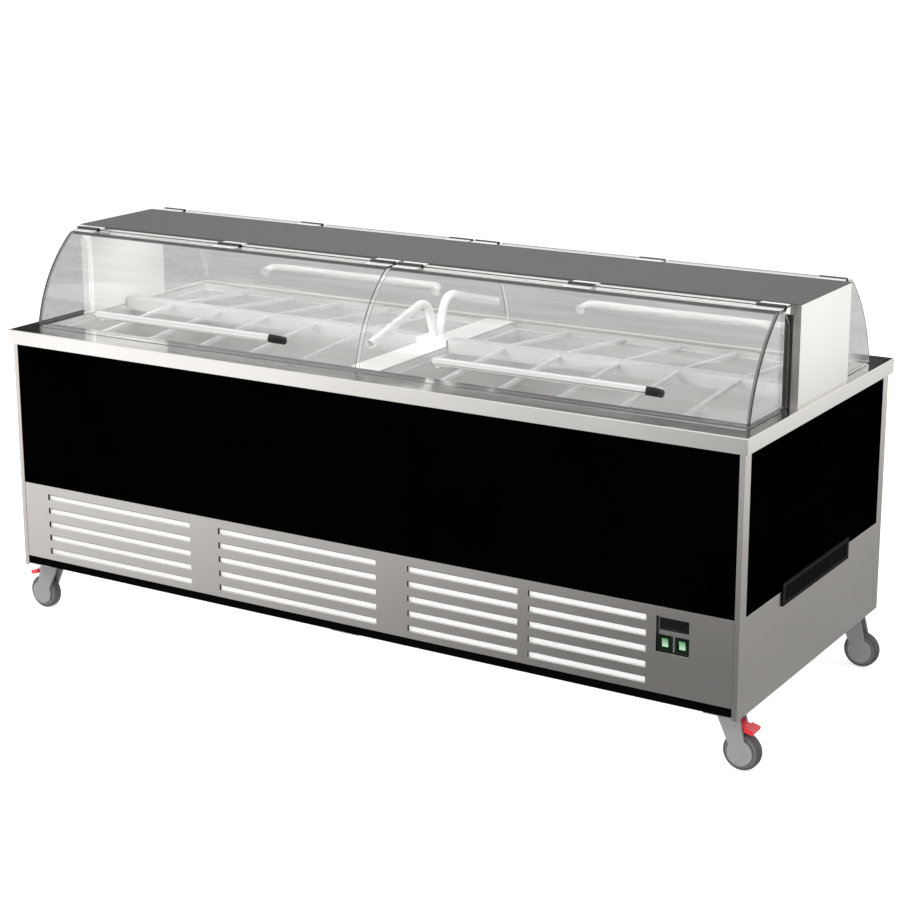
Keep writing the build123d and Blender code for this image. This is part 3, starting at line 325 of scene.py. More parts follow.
def colour_between(tree, shader, mask, first, second):
    """Base colour that runs from the first colour to the second under a mask."""
    inputs = {"A": (*first, 1), "B": (*second, 1), "Factor": mask}
    colour = add_node(tree, "Mix", inputs, data_type="RGBA").outputs["Result"]
    wire(tree, shader, {"Base Color": colour})
    return colour


def roughness_between(tree, shader, mask, low, high):
    """Roughness that runs between two values under a mask."""
    ramp = add_node(tree, "MapRange", {"Value": mask, "To Min": low, "To Max": high})
    wire(tree, shader, {"Roughness": ramp.outputs["Result"]})


def relief(tree, shader, height, strength, depth):
    """Bump from a height mask."""
    bump = add_node(tree, "Bump", {"Height": height, "Strength": strength, "Distance": depth})
    wire(tree, shader, {"Normal": bump.outputs["Normal"]})


print("helpers for finishes ready")

# %% [markdown]
# ## Metals
# The worktop is mirror polished, the lower panels are satin, the hinge rails and the front handles are
# bright, and what is inside the base is galvanised or bare. Pieces that are brushed or deep drawn
# scatter more light and look paler, so they are less metallic. Some rows are painted light or shade: the
# rear handles, the centre bridge and the left column's inner side are painted pale, a painted light, and
# the hinge barrels and the right column's front are painted dark, a painted shade. All are one shader
# with other values, so each finish is a row in a table: its two colours, its two roughnesses, the
# direction and the strength of its lines, and how metallic it is.

# %% Metals
along_x = (2.0, 70.0, 70.0)
along_z = (70.0, 70.0, 2.0)
drawn = (30, 30, 30)
spangled = (9, 9, 9)
line_depth = 0.0002
metals = [
    ("polished_steel", (0.73, 0.71, 0.68), (0.78, 0.76, 0.73), (0.1, 0.14), along_x, 0.004, 1.0),
    ("satin_steel", (0.64, 0.61, 0.585), (0.66, 0.63, 0.605), (0.275, 0.282), along_x, 0.0002, 1.0),
    ("bright_steel", (0.86, 0.86, 0.85), (0.92, 0.92, 0.91), (0.14, 0.22), along_x, 0.01, 1.0),
    ("handle_steel", (0.74, 0.73, 0.72), (0.8, 0.79, 0.78), (0.14, 0.22), along_x, 0.01, 1.0),
    ("well_steel", (0.74, 0.74, 0.73), (0.8, 0.8, 0.79), (0.4, 0.46), along_x, 0.004, 0.4),
    ("pale_steel", (0.86, 0.86, 0.85), (0.92, 0.92, 0.91), (0.32, 0.38), along_x, 0.004, 0.5),
    # painted light: the rear handles and the centre bridge are painted paler than their steel
    ("white_steel", (0.95, 0.94, 0.925), (0.98, 0.97, 0.955), (0.35, 0.4), along_x, 0.004, 0.1),
    # painted light: the left column's inner side is painted pale
    ("column_steel", (0.94, 0.93, 0.915), (0.97, 0.96, 0.945), (0.3, 0.35), along_x, 0.004, 0.3),
    # painted shade: the right column's front is painted dark
    ("shaded_steel", (0.27, 0.26, 0.25), (0.3, 0.29, 0.28), (0.3, 0.35), along_x, 0.004, 1.0),
    # painted shade: the hinge barrels and their sleeves are painted dark
    ("dark_steel", (0.07, 0.068, 0.065), (0.1, 0.098, 0.095), (0.3, 0.4), along_x, 0.004, 1.0),
    ("galvanised_steel", (0.45, 0.46, 0.47), (0.6, 0.61, 0.62), (0.35, 0.5), spangled, 0.06, 1.0),
    ("copper_tube", (0.62, 0.32, 0.2), (0.78, 0.45, 0.3), (0.25, 0.4), drawn, 0.06, 1.0),
    ("fin_aluminium", (0.7, 0.71, 0.72), (0.8, 0.81, 0.82), (0.3, 0.45), along_z, 0.06, 1.0),
]


def steel(name, dark, light, rough, stretch, strength, metallic):
    """Sheet metal with polishing lines along one direction."""
    material, tree, shader = finish(name, metallic=metallic)
    grain = effect(tree, grain_group, Stretch=stretch)
    colour_between(tree, shader, grain.outputs["Smudges"], dark, light)
    roughness_between(tree, shader, grain.outputs["Lines"], *rough)
    relief(tree, shader, grain.outputs["Lines"], strength, line_depth)
    return material


finishes = {}
for name, *values in metals:
    finishes[name] = steel(name, *values)
print("metals:", len(metals))

# %% [markdown]
# ## Paints, plastics and rubber
# The black panels are dead matt, the canopy is a flat grey coat, the stay is white enamel. Each runs
# between two close shades in soft patches, because no coat is quite even. A row gives the two shades,
# the two roughnesses, how fine the peel is, how strongly it shines and how deep the peel looks.

# %% Paints, plastics and rubber
def grey(level):
    """Colour with the same level of red, green and blue."""
    return level, level, level


peel_depth = 0.0005
paints = [
    ("black_laminate", grey(0.0002), grey(0.0006), (0.75, 0.85), 500, 0.0, 0.1),
    ("black_coated_steel", grey(0.0006), grey(0.0015), (0.6, 0.7), 700, 0.015, 0.1),
    ("black_plastic", grey(0.002), grey(0.004), (0.5, 0.65), 900, 0.1, 0.1),
    ("seal_rubber", (0.013, 0.012, 0.011), (0.024, 0.022, 0.02), (0.35, 0.5), 900, 0.2, 0.1),
    ("canopy_grey", grey(0.077), grey(0.096), (0.6, 0.75), 1200, 0.3, 0.1),
    ("castor_zinc", grey(0.27), grey(0.33), (0.4, 0.55), 900, 0.4, 0.1),
    ("white_enamel", (0.91, 0.91, 0.9), (0.95, 0.95, 0.94), (0.2, 0.3), 400, 0.5, 0.05),
    ("wheel_rubber", grey(0.075), grey(0.1), (0.5, 0.7), 900, 0.4, 0.1),
    ("pedal_red", (0.8, 0.02, 0.04), (0.88, 0.03, 0.05), (0.12, 0.2), 700, 1.0, 0.05),
    ("switch_green", (0.0012, 0.009, 0.0035), (0.002, 0.013, 0.005), (0.3, 0.4), 500, 0.25, 0.05),
    ("display_black", grey(0.003), grey(0.005), (0.1, 0.2), 500, 0.4, 0.02),
    ("filter_white", (0.88, 0.88, 0.87), (0.95, 0.95, 0.94), (0.8, 0.95), 1500, 0.2, 0.3),
    ("compressor_black", grey(0.01), grey(0.02), (0.35, 0.5), 700, 0.5, 0.1),
    ("motor_grey", (0.15, 0.15, 0.16), (0.2, 0.2, 0.21), (0.4, 0.55), 700, 0.5, 0.1),
    ("fan_plastic", grey(0.02), grey(0.03), (0.4, 0.55), 900, 0.5, 0.1),
    ("foam", (0.78, 0.7, 0.5), (0.85, 0.79, 0.6), (0.85, 0.95), 400, 0.2, 0.4),
    ("drain_plastic", grey(0.05), grey(0.07), (0.4, 0.5), 700, 0.5, 0.1),
]


def painted(name, dark, light, rough, scale, specular, strength):
    """Painted or moulded surface with a faint orange peel."""
    material, tree, shader = finish(name, specular=specular)
    coat = effect(tree, peel_group, Scale=scale)
    colour_between(tree, shader, coat.outputs["Patches"], dark, light)
    roughness_between(tree, shader, coat.outputs["Patches"], *rough)
    relief(tree, shader, coat.outputs["Bumps"], strength, peel_depth)
    return material


for name, *values in paints:
    finishes[name] = painted(name, *values)
print("paints, plastics and rubber:", len(paints))

# %% [markdown]
# ## Clear acrylic
# The covers are bent from clear acrylic sheet with a grey cast and long streaks from wiping. A
# Principled shader that lets light through does the bending and the mirroring; for rays on their way to
# a lamp it gives way to a plain transparent shader, so that the wells under it stay as light as they
# are in a room. Sawn edges and bends are duller than the faces and painted darker, a painted shade for
# the dark lines they show; the rear covers' edges are painted pale instead, a painted light for the
# light behind them.

# %% Clear acrylic
acrylic_ior = 1.3
wiping = (0.25, 5.0, 5.0)
shadow_tint = (0.93, 0.94, 0.94, 1)
clear_sheets = [
    ("clear_acrylic", (0.72, 0.718, 0.715), (0.83, 0.828, 0.825), (0.0, 0.03)),
    # painted shade: sawn edges, welds and the left covers' edge strips are painted dark
    ("acrylic_edge", grey(0.3), grey(0.37), (0.2, 0.3)),
    # painted light: the rear covers' edges are painted pale
    ("pale_edge", grey(0.82), grey(0.9), (0.2, 0.3)),
    # painted shade: the bend is painted dark
    ("acrylic_bend", grey(0.06), grey(0.09), (0.3, 0.4)),
]


def acrylic(name, dark, light, rough):
    """Clear sheet with a cast, and a plain see-through shader for shadows."""
    material, tree, shader = finish(name)
    wire(tree, shader, {"Transmission Weight": 1.0, "IOR": acrylic_ior})
    wiped = effect(tree, grain_group, Stretch=wiping)
    colour_between(tree, shader, wiped.outputs["Lines"], dark, light)
    roughness_between(tree, shader, wiped.outputs["Smudges"], *rough)
    shadow = add_node(tree, "LightPath", {}).outputs["Is Shadow Ray"]
    through = add_node(tree, "BsdfTransparent", {"Color": shadow_tint})
    inputs = {"Fac": shadow, 1: shader.outputs["BSDF"], 2: through.outputs["BSDF"]}
    choose = add_node(tree, "MixShader", inputs)
    wire(tree, tree.nodes["Material Output"], {"Surface": choose.outputs["Shader"]})
    return material


for name, *values in clear_sheets:
    finishes[name] = acrylic(name, *values)
print("clear sheets:", len(clear_sheets))

# %% [markdown]
# ## Dressing the frame's own pieces
# Every piece of the frame has a slot in its record that names its finish. Each piece gets the finish of
# that name; the wells are the same steel as the worktop, but deep drawn and so duller.

# %% Dress the frame
slots = {row["node"]: row["material_slot"] for row in frame["record"]["subparts"]}
for name, slot in slots.items():
    piece = nodes[name]
    piece.data.materials.clear()
    piece.data.materials.append(finishes[slot])
nodes["wells"].data.materials[0] = finishes["well_steel"]
print("dressed", len(slots), "pieces")

# %% [markdown]
# ## Modelling by hand, in code
# Each new piece starts as a primitive at its size and place and is shaped in edit mode. Selecting is
# what the mouse does in the window; here the points, edges or faces are picked by where their middle
# lies and how far they reach.

# %% Opening a shape and picking its parts
hair = 1e-4


def close():
    """Back to object mode."""
    if bpy.context.mode != "OBJECT":
        bpy.ops.object.mode_set(mode="OBJECT")


def take(piece):
    """Back in object mode, make one piece the only one selected."""
    close()
    bpy.ops.object.select_all(action="DESELECT")
    piece.select_set(True)
    bpy.context.view_layer.objects.active = piece


def opened(name, add, scale, **settings):
    """With nothing selected, add a primitive, give it its name and size, and open it in edit mode."""
    bpy.ops.object.select_all(action="DESELECT")
    add(**settings)
    piece = bpy.context.object
    piece.name = name
    piece.scale = scale
    bpy.ops.object.transform_apply(location=True, rotation=True, scale=True)
    bpy.ops.object.mode_set(mode="EDIT")
    return piece


def open_plane(name, low, high):
    """Level plane between two corners, open in edit mode."""
    low, high = Vector(low), Vector(high)
    scale = (high.x - low.x, high.y - low.y, 1)
    return opened(name, bpy.ops.mesh.primitive_plane_add, scale, size=1, location=(low + high) / 2)


def pick(kind, test):
    """In edit mode, select the points, edges or faces whose middle and reach pass a test."""
    mesh = bpy.context.edit_object.data
    bpy.ops.mesh.select_mode(type=kind)
    bpy.ops.mesh.select_all(action="DESELECT")
    shape = bmesh.from_edit_mesh(mesh)
    count = 0
    for item in {"VERT": shape.verts, "EDGE": shape.edges, "FACE": shape.faces}[kind]:
        points = [item.co] if kind == "VERT" else [corner.co for corner in item.verts]
        low = Vector([min(point[axis] for point in points) for axis in range(3)])
        high = Vector([max(point[axis] for point in points) for axis in range(3)])
        if test((low + high) / 2, high - low):
            item.select_set(True)
            count += 1
    shape.select_flush_mode()
    bmesh.update_edit_mesh(mesh)
    return count


def near(value, target):
    """True if two lengths agree to a tenth of a millimetre."""
    return abs(value - target) < hair


print("lengths within", hair, "m count as equal")

# %% [markdown]
# ## Shaping
# Four moves make most of a folded sheet: cut a line across it, pull an edge or a face out, round off a
# fold, and weld what meets. A sheet has no inside of its own, so after welding its faces are turned to
# the side that will be seen.

# %% Cutting, pulling and welding
same_point = 1e-6


def cut(axis, *places):
    """In edit mode, cut everything across one axis at each place."""
    normal = [0, 0, 0]
    normal["XYZ".index(axis)] = 1
    for at in places:
        bpy.ops.mesh.select_all(action="SELECT")
        bpy.ops.mesh.bisect(plane_co=[at * part for part in normal], plane_no=normal)


def round_off(offset, segments=4):
    """Round the selected edges, starting that far from each."""
    bpy.ops.mesh.bevel(offset=offset, segments=segments, affect="EDGES")


def pull(move):
    """Extrude what is selected along a move."""
    bpy.ops.mesh.extrude_region_move(TRANSFORM_OT_translate={"value": move})


def weld():
    """In edit mode, merge points that meet and turn all faces to one side."""
    bpy.ops.mesh.select_all(action="SELECT")
    bpy.ops.mesh.remove_doubles(threshold=same_point)
    bpy.ops.mesh.normals_make_consistent(inside=False)


def face_out(test, direction):
    """Weld a sheet, and turn it so that the first face that passes the test looks along a direction."""
    weld()
    shape = bmesh.from_edit_mesh(bpy.context.edit_object.data)
    for face in shape.faces:
        if test(face.calc_center_median()):
            if face.normal.dot(Vector(direction)) < 0:
                bpy.ops.mesh.flip_normals()
            break


print("points within", same_point, "m are merged")

# %% [markdown]
# ## Finishing a piece
# Modifiers give a sheet its thickness and round its edges, and are applied at once. When a piece is
# done it is shaded, gets its finish, rides on the body that carries it and stands in for the frame's
# piece.

# %% Modifiers and settling
smooth_below = math.radians(30)


def modify(piece, kind, **settings):
    """Add a modifier to a piece and apply it."""
    take(piece)
    modifier = piece.modifiers.new(kind.lower(), kind)
    for label, value in settings.items():
        setattr(modifier, label, value)
    bpy.ops.object.modifier_apply(modifier=modifier.name)


def soften(piece, width, segments=2, angle=40):
    """Round the edges of a piece that are sharper than an angle in degrees."""
    modify(
        piece, "BEVEL", width=width, segments=segments, limit_method="ANGLE",
        angle_limit=math.radians(angle), use_clamp_overlap=True,
    )


def settle(piece, body, slot, stood_for, *dress):
    """Shade a finished piece, dress it, put it on its body and let it stand in for the frame's pieces."""
    take(piece)
    bpy.ops.object.shade_smooth_by_angle(angle=smooth_below)
    modify(piece, "WEIGHTED_NORMAL", keep_sharp=True, weight=100)
    for number, name in enumerate(dress or (slot,)):
        if number == len(piece.data.materials):
            piece.data.materials.append(None)
        piece.data.materials[number] = finishes[name]
    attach(piece, body)
    if stood_for:
        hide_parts(*stood_for)


print("edges flatter than", round(math.degrees(smooth_below)), "degrees are shaded smooth")

# %% [markdown]
# ## Worktop
# On the real counter this is one polished sheet: two openings are cut out for the wells and the outer
# edge is folded down. It could be a box with holes, but a folded sheet is easier to follow as a plane:
# cut lines, take out the faces over the wells, pull the outer edge down, then give the sheet its
# thickness and its rounded folds.

# %% Worktop
low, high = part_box("countertop")
well_low, well_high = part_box("wells")
well_gap = 0.05
worktop_sheet = 0.002
worktop_fold = 0.0025
worktop_edge = 0.0005


def on_rim(at):
    """True for a place on the outer edge of the worktop."""
    return near(abs(at.x), high.x) or near(abs(at.y), high.y)


worktop = open_plane("worktop", (low.x, low.y, high.z), (high.x, high.y, high.z))
cut("X", well_low.x, -well_gap, well_gap, well_high.x)
cut("Y", well_low.y, well_high.y)
pick("FACE", lambda at, reach: well_gap < abs(at.x) < well_high.x and abs(at.y) < well_high.y)
bpy.ops.mesh.delete(type="FACE")
pick("EDGE", lambda at, reach: on_rim(at))
pull((0, 0, low.z - high.z))
face_out(lambda at: near(at.z, high.z), (0, 0, 1))
pick("EDGE", lambda at, reach: on_rim(at) and near(at.z, high.z) and near(reach.z, 0))
round_off(worktop_fold)
modify(worktop, "SOLIDIFY", thickness=worktop_sheet, offset=-1)
soften(worktop, worktop_edge)
settle(worktop, "counter", "polished_steel", ["countertop"])
print("worktop:", len(worktop.data.polygons), "faces")

# %% [markdown]
# ## Copies and marks
# The covers, handles and wheels come in fours, one at each corner. Each is modelled once, at the front
# left, and copied with its own mesh; a scale of -1 turns the copy over. A mark gives some faces of a
# piece another of its finishes, as masking tape does before spraying.

# %% Copies and marks
def turn_out():
    """In edit mode, flip a closed shape whose faces look inwards."""
    shape = bmesh.from_edit_mesh(bpy.context.edit_object.data)
    if shape.calc_volume(signed=True) < 0:
        bpy.ops.mesh.flip_normals()


def copied(piece, name, scale=(1, 1, 1), move=(0, 0, 0)):
    """Copy of a piece with its own mesh, turned over where the scale is -1, and moved."""
    copy = piece.copy()
    copy.data = piece.data.copy()
    copy.name = name
    bpy.context.scene.collection.objects.link(copy)
    take(copy)
    bpy.ops.object.mode_set(mode="EDIT")
    bpy.ops.mesh.select_all(action="SELECT")
    bpy.ops.transform.resize(value=scale, center_override=(0, 0, 0))
    bpy.ops.transform.translate(value=move)
    turn_out()
    close()
    return copy


def at_corner(piece, stem, place):
    """A front left piece, or its copy at another corner."""
    if place == "front_left":
        return piece
    side, way = corners[place]
    return copied(piece, stem + place, scale=(-side, -way, 1))


def mark(piece, number, test):
    """Give the faces of a piece that pass a test the finish of that number, and count them."""
    marked = [face for face in piece.data.polygons if test(face)]
    for face in marked:
        face.material_index = number
    return len(marked)


def mark_picked(number):
    """In edit mode, give the selected faces the finish of that number."""
    for face in bmesh.from_edit_mesh(bpy.context.edit_object.data).faces:
        if face.select:
            face.material_index = number


print("corners:", ", ".join(corners))

# %% [markdown]
# ## Covers
# Each cover is bent from one sheet: a flange under the hinge leaves, a tight bend, a long bow down to
# the worktop, and a cheek welded on at its outer end. The flange is a plane; its outer edge is spun
# about the middle of the bow, and the bend is a bevel on the shoulder. The bend's faces get finish
# number 2, which is painted darker than the faces: a painted shade for the dark line along the bend.

# %% Bowed sheet
low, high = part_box("cover_front_left")
flange_root = -0.2105
shoulder = -0.2465
flange_top = high.z
bow_middle = Vector((0, 0.00175, 0.80324))
bend_setback = 0.0074
cover = open_plane(
    "clear_cover_front_left", (low.x, shoulder, flange_top), (high.x, flange_root, flange_top)
)
pick("EDGE", lambda at, reach: near(at.y, shoulder))
bow_start = math.atan2(flange_top - bow_middle.z, bow_middle.y - shoulder)
bow_end = math.atan2(low.z - bow_middle.z, bow_middle.y - low.y)
bpy.ops.mesh.spin(steps=30, angle=bow_end - bow_start, center=bow_middle, axis=(1, 0, 0))
pick("EDGE", lambda at, reach: near(at.y, shoulder) and near(at.z, flange_top))
round_off(bend_setback, 6)
# the bend's faces get a painted shade
mark_picked(2)
print("bow:", round(math.degrees(bow_start - bow_end), 1), "degrees")

# %% [markdown]
# The cheek is one face drawn between the end of the bow and two more points, and a second bevel rounds
# the corner where sheet and cheek were welded. The weld and the sawn edges get finish number 1, a
# painted shade. A cut line at the outer end keeps a narrow strip apart, which on the left covers gets
# the same painted shade and looks greyer.

# %% Cheek and thickness
cover_sheet = 0.005
cover_edge = 0.0006
weld_round = 0.008
notch = 0.044
outline = 0.016
cover_end = low.x


def on_cheek(at, reach):
    """True for the edges where the bowed sheet meets the cheek."""
    bowed = reach.z > 0 or at.z > low.z + notch
    return near(at.x, cover_end) and at.y < flange_root - hair and bowed


pick("VERT", lambda at, reach: near(at.x, cover_end) and near(at.z, low.z))
bpy.ops.mesh.extrude_vertices_move(TRANSFORM_OT_translate={"value": (0, high.y - low.y, 0)})
bpy.ops.mesh.extrude_vertices_move(TRANSFORM_OT_translate={"value": (0, 0, flange_top - notch - low.z)})
pick("VERT", lambda at, reach: near(at.x, cover_end))
bpy.ops.mesh.edge_face_add()
face_out(lambda at: near(at.z, flange_top), (0, 0, 1))
pick("EDGE", on_cheek)
round_off(weld_round)
# the weld gets a painted shade
mark_picked(1)
cut("X", cover_end + outline)
for name in ("clear_acrylic", "acrylic_edge", "acrylic_bend"):
    cover.data.materials.append(finishes[name])
modify(cover, "SOLIDIFY", thickness=cover_sheet, offset=-1, use_even_offset=True, material_offset_rim=1)
soften(cover, cover_edge, 1, 50)
bent = sum(face.material_index == 2 for face in cover.data.polygons)
print("cover:", len(cover.data.polygons), "faces,", bent, "of them in the bend")

# %% [markdown]
# The other three covers are copies. The copies come before the marks, so that the painted grey strip, a
# painted shade, stays on the left covers and is not turned over to the right.

# %% Four covers
covers = {place: at_corner(cover, "clear_cover_", place) for place in corners}
for place, (side, way) in corners.items():
    if side < 0:
        # the left covers' edge strip gets a painted shade
        mark(covers[place], 1, lambda face: cover_end + cover_sheet < face.center.x < cover_end + outline)
    settle(
        covers[place], "cover_" + place, "clear_acrylic", ["cover_" + place],
        # front covers' edges get a painted shade, rear covers' edges a painted light
        "clear_acrylic", "acrylic_edge" if way < 0 else "pale_edge", "acrylic_bend",
    )
print("covers:", len(covers))

# %% [markdown]
# ## Handles
# A handle is one bright tube with two bends, standing square on the bow. It could be a curve with a
# round profile; here a ring is added on the bow, pulled out, spun through the bend, pulled along and
# spun back in, which is how a tube bender works.

# %% First handle
def open_ring(name, middle, turn, radius, points):
    """Ring of points about a middle, open in edit mode and selected all over."""
    piece = opened(
        name, bpy.ops.mesh.primitive_circle_add, (1, 1, 1),
        vertices=points, radius=radius, location=middle, rotation=turn,
    )
    bpy.ops.mesh.select_mode(type="VERT")
    bpy.ops.mesh.select_all(action="SELECT")
    return piece


low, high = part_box("handle_front_left")
tube_radius = 0.010
tube_points = 28
tube_wall = 0.0015
bend_radius = 0.028
standoff = 0.042
grip_y = -0.3914
grip_z = 0.929
grip = Vector((low.x + tube_radius, grip_y, grip_z))
out = Vector((0, grip.y - bow_middle.y, grip.z - bow_middle.z)).normalized()
along = Vector((1, 0, 0))
span = high.x - low.x - 2 * tube_radius
straight = standoff - bend_radius


def bend(across):
    """Spin the open end of the tube a quarter turn, about a middle that far along the bar."""
    middle = grip + out * straight + along * across
    bpy.ops.mesh.spin(steps=10, angle=math.radians(90), center=middle, axis=along.cross(out))


ring_turn = out.to_track_quat("Z", "Y").to_euler()
handle = open_ring("grab_handle_front_left", grip, ring_turn, tube_radius, tube_points)
pull(out * straight)
bend(bend_radius)
pull(along * (span - 2 * bend_radius))
bend(span - bend_radius)
pull(-out * straight)
modify(handle, "SOLIDIFY", thickness=tube_wall, offset=-1)
print("handle:", len(handle.data.polygons), "faces")

# %% [markdown]
# A flat collar sits where each foot meets the acrylic: a ring is filled, pulled up a little and
# rounded, and the second collar is a copy at the far foot.

# %% Collars
def joined(first, *others):
    """Several pieces made one mesh."""
    take(first)
    for piece in others:
        piece.select_set(True)
    bpy.ops.object.join()
    return first


foot_radius = 0.015
foot_depth = 0.003
foot_edge = 0.001
collar = open_ring("handle_collars_front_left", grip, ring_turn, foot_radius, tube_points)
bpy.ops.mesh.edge_face_add()
pull(out * foot_depth)
bpy.ops.mesh.select_all(action="SELECT")
bpy.ops.mesh.normals_make_consistent(inside=False)
close()
collars = joined(collar, copied(collar, "far_collar", move=along * span))
soften(collars, foot_edge)
print("collars:", len(collars.data.polygons), "faces")

# %% [markdown]
# The front handles have a dark sleeve over their right bend, a painted shade for the dark that falls
# there. The rear ones are seen through two covers and look paler than the front ones, so their finish
# is painted paler, a painted light. A copy carries the first handle's marks, turned over, so they are
# taken off before it gets its own.

# %% Four handles
for place, (side, way) in corners.items():
    tube = at_corner(handle, "grab_handle_", place)
    feet = at_corner(collars, "handle_collars_", place)
    # the rear handles get a paler finish, a painted light
    bar = "handle_steel" if way < 0 else "white_steel"
    tube_end = max(point.co.x for point in tube.data.vertices)
    mark(tube, 0, lambda face: True)
    if way < 0:
        # the right bend of a front handle gets a painted shade
        mark(tube, 1, lambda face: face.center.x > tube_end - bend_radius)
    settle(tube, "cover_" + place, "bright_steel", ["handle_" + place], bar, "seal_rubber")
    settle(feet, "cover_" + place, "bright_steel", [], bar)
print("handles:", len(corners))

# %% [markdown]
# ## Front lower panel
# A satin sheet with four groups of five air slots and the opening for the controls. The edges of each
# slot are turned in, as a punch leaves them, and the top one also has a short hem down. The panel is an
# upright plane with cut lines along every slot, and the faces over the slots and the controls come out.

# %% Slotted sheet
def open_wall(name, low, high):
    """Upright plane that looks to the front, between two corners, open in edit mode."""
    low, high = Vector(low), Vector(high)
    scale = (high.x - low.x, high.z - low.z, 1)
    add = bpy.ops.mesh.primitive_plane_add
    return opened(name, add, scale, size=1, location=(low + high) / 2, rotation=upright)


def in_one(value, stretches):
    """True if a value lies in, or at the end of, one of several stretches."""
    return any(start - hair < value < end + hair for start, end in stretches)


low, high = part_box("front_lower_panel")
slot_groups = [(-1.056, -0.52625), (-0.42625, 0.1035), (0.2035, 0.5405), (0.5715, 0.9085)]
slot_middle = 0.2955
slot_pitch = 0.0415
slot_half = 0.00875
row_middles = [slot_middle + slot_pitch * row for row in range(-2, 3)]
slot_rows = [(middle - slot_half, middle + slot_half) for middle in row_middles]
niche_x = (0.936, 1.027)
niche_z = (0.294, 0.388)
front_panel = open_wall("slotted_front_panel", (low.x, low.y, low.z), (high.x, low.y, high.z))
cut("X", *[at for group in slot_groups for at in group], *niche_x)
cut("Z", *[at for row in slot_rows for at in row], *niche_z)
taken_out = pick("FACE", lambda at, reach: in_one(at.x, slot_groups) and in_one(at.z, slot_rows))
bpy.ops.mesh.delete(type="FACE")
pick("FACE", lambda at, reach: in_one(at.x, [niche_x]) and in_one(at.z, [niche_z]))
bpy.ops.mesh.delete(type="FACE")
print("faces taken out over the slots:", taken_out)

# %% [markdown]
# The edges of the slots are pulled inwards and the hems down, and the sheet gets its thickness. The
# lips are painted black, a painted shade for the shade they lie in, all but the lower ones, which face up.

# %% Slot lips
turned_in = 0.007
hem = 0.004
long_lip = 0.1
panel_sheet = 0.0015
panel_edge = 0.0004
lip_gap = 0.0005
lip_start = low.y + panel_sheet + lip_gap
facing_up = 0.5


def on_slot_top(at, reach):
    """True for the sunk edge along the top of a slot."""
    at_top = any(near(at.z, end) for start, end in slot_rows)
    return at_top and near(at.y, low.y + turned_in) and reach.x > long_lip


pick("EDGE", lambda at, reach: in_one(at.x, slot_groups) and in_one(at.z, slot_rows))
pull((0, turned_in, 0))
pick("EDGE", on_slot_top)
pull((0, 0, -hem))
face_out(lambda at: near(at.y, low.y), (0, -1, 0))
modify(front_panel, "SOLIDIFY", thickness=panel_sheet, offset=-1)
soften(front_panel, panel_edge, 1, 50)
# lips that do not face up get a painted shade
lips = mark(front_panel, 1, lambda face: face.center.y > lip_start and face.normal.z < facing_up)
settle(front_panel, "counter", "satin_steel", ["front_lower_panel"], "satin_steel", "black_plastic")
print("front panel:", len(front_panel.data.polygons), "faces,", lips, "of them dark")

# %% [markdown]
# ## Filter mats
# White mats lie behind the slots and keep lint out of the condenser. Each is a cushion of loose fibre,
# so its front is inset and its edges are rounded. The slot groups come in two lengths, so every second
# mat is a copy of the one before it.

# %% Filter mats
def open_cube(name, low, high):
    """Cube between two corners, open in edit mode."""
    low, high = Vector(low), Vector(high)
    add = bpy.ops.mesh.primitive_cube_add
    return opened(name, add, high - low, size=1, location=(low + high) / 2)


mat_low, mat_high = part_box("air_filters")
mat_overlap = 0.003
mat_gap = 0.0005
mat_depth = 0.008
mat_front = low.y + turned_in + mat_gap
mat_back = low.y + turned_in + mat_depth
mat_rim = 0.002
mat_edge = 0.001
mats = []
for (start, end), (copy_start, _) in zip(slot_groups[::2], slot_groups[1::2]):
    mat = open_cube(
        "filter_mats",
        (start - mat_overlap, mat_front, mat_low.z),
        (end + mat_overlap, mat_back, mat_high.z),
    )
    pick("FACE", lambda at, reach: near(at.y, mat_front))
    bpy.ops.mesh.inset(thickness=mat_rim)
    close()
    mats += [mat, copied(mat, "next_mat", move=(copy_start - start, 0, 0))]
filter_mats = joined(*mats)
soften(filter_mats, mat_edge)
settle(filter_mats, "counter", "filter_white", ["air_filters"])
print("filter mats:", len(mats))

# %% [markdown]
# ## Canopy
# The canopy is a folded sheet with a skirt along each side, and it rests on two closed box columns. It
# is a plane whose side edges are pulled down between the columns.

# %% Canopy
low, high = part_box("canopy")
column_width = 0.044
skirt_gap = 0.001
canopy_sheet = 0.002
canopy_edge = 0.0008
skirt_end = high.x - column_width - skirt_gap
canopy = open_plane("folded_canopy", (low.x, low.y, high.z), (high.x, high.y, high.z))
cut("X", -skirt_end, skirt_end)
pick("EDGE", lambda at, reach: near(abs(at.y), high.y) and abs(at.x) < skirt_end)
pull((0, 0, low.z - high.z))
face_out(lambda at: near(at.z, high.z), (0, 0, 1))
modify(canopy, "SOLIDIFY", thickness=canopy_sheet, offset=-1)
soften(canopy, canopy_edge)
settle(canopy, "counter", "canopy_grey", ["canopy"])
print("canopy:", len(canopy.data.polygons), "faces")

# %% [markdown]
# ## Columns
# A column is a closed box with rounded upright folds; the left one is a copy, turned over. The right
# column is polished, and its front is painted darker, a painted shade for the shade of the seals beside
# it. The left column shows its inner side, which is brushed and painted pale, a painted light.

# %% Columns
low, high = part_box("columns")
column_fold = 0.002
column_rim = 0.0015
column_tall = 0.1
facing_front = -0.7
column = open_cube("end_columns", (high.x - column_width, low.y, low.z), (high.x, high.y, high.z))
pick("EDGE", lambda at, reach: reach.z > column_tall)
round_off(column_fold)
pick("FACE", lambda at, reach: near(reach.z, 0))
bpy.ops.mesh.inset(thickness=column_rim)
close()
columns = joined(column, copied(column, "left_column", scale=(-1, 1, 1)))
# the left column gets a painted light
mark(columns, 1, lambda face: face.center.x < 0)
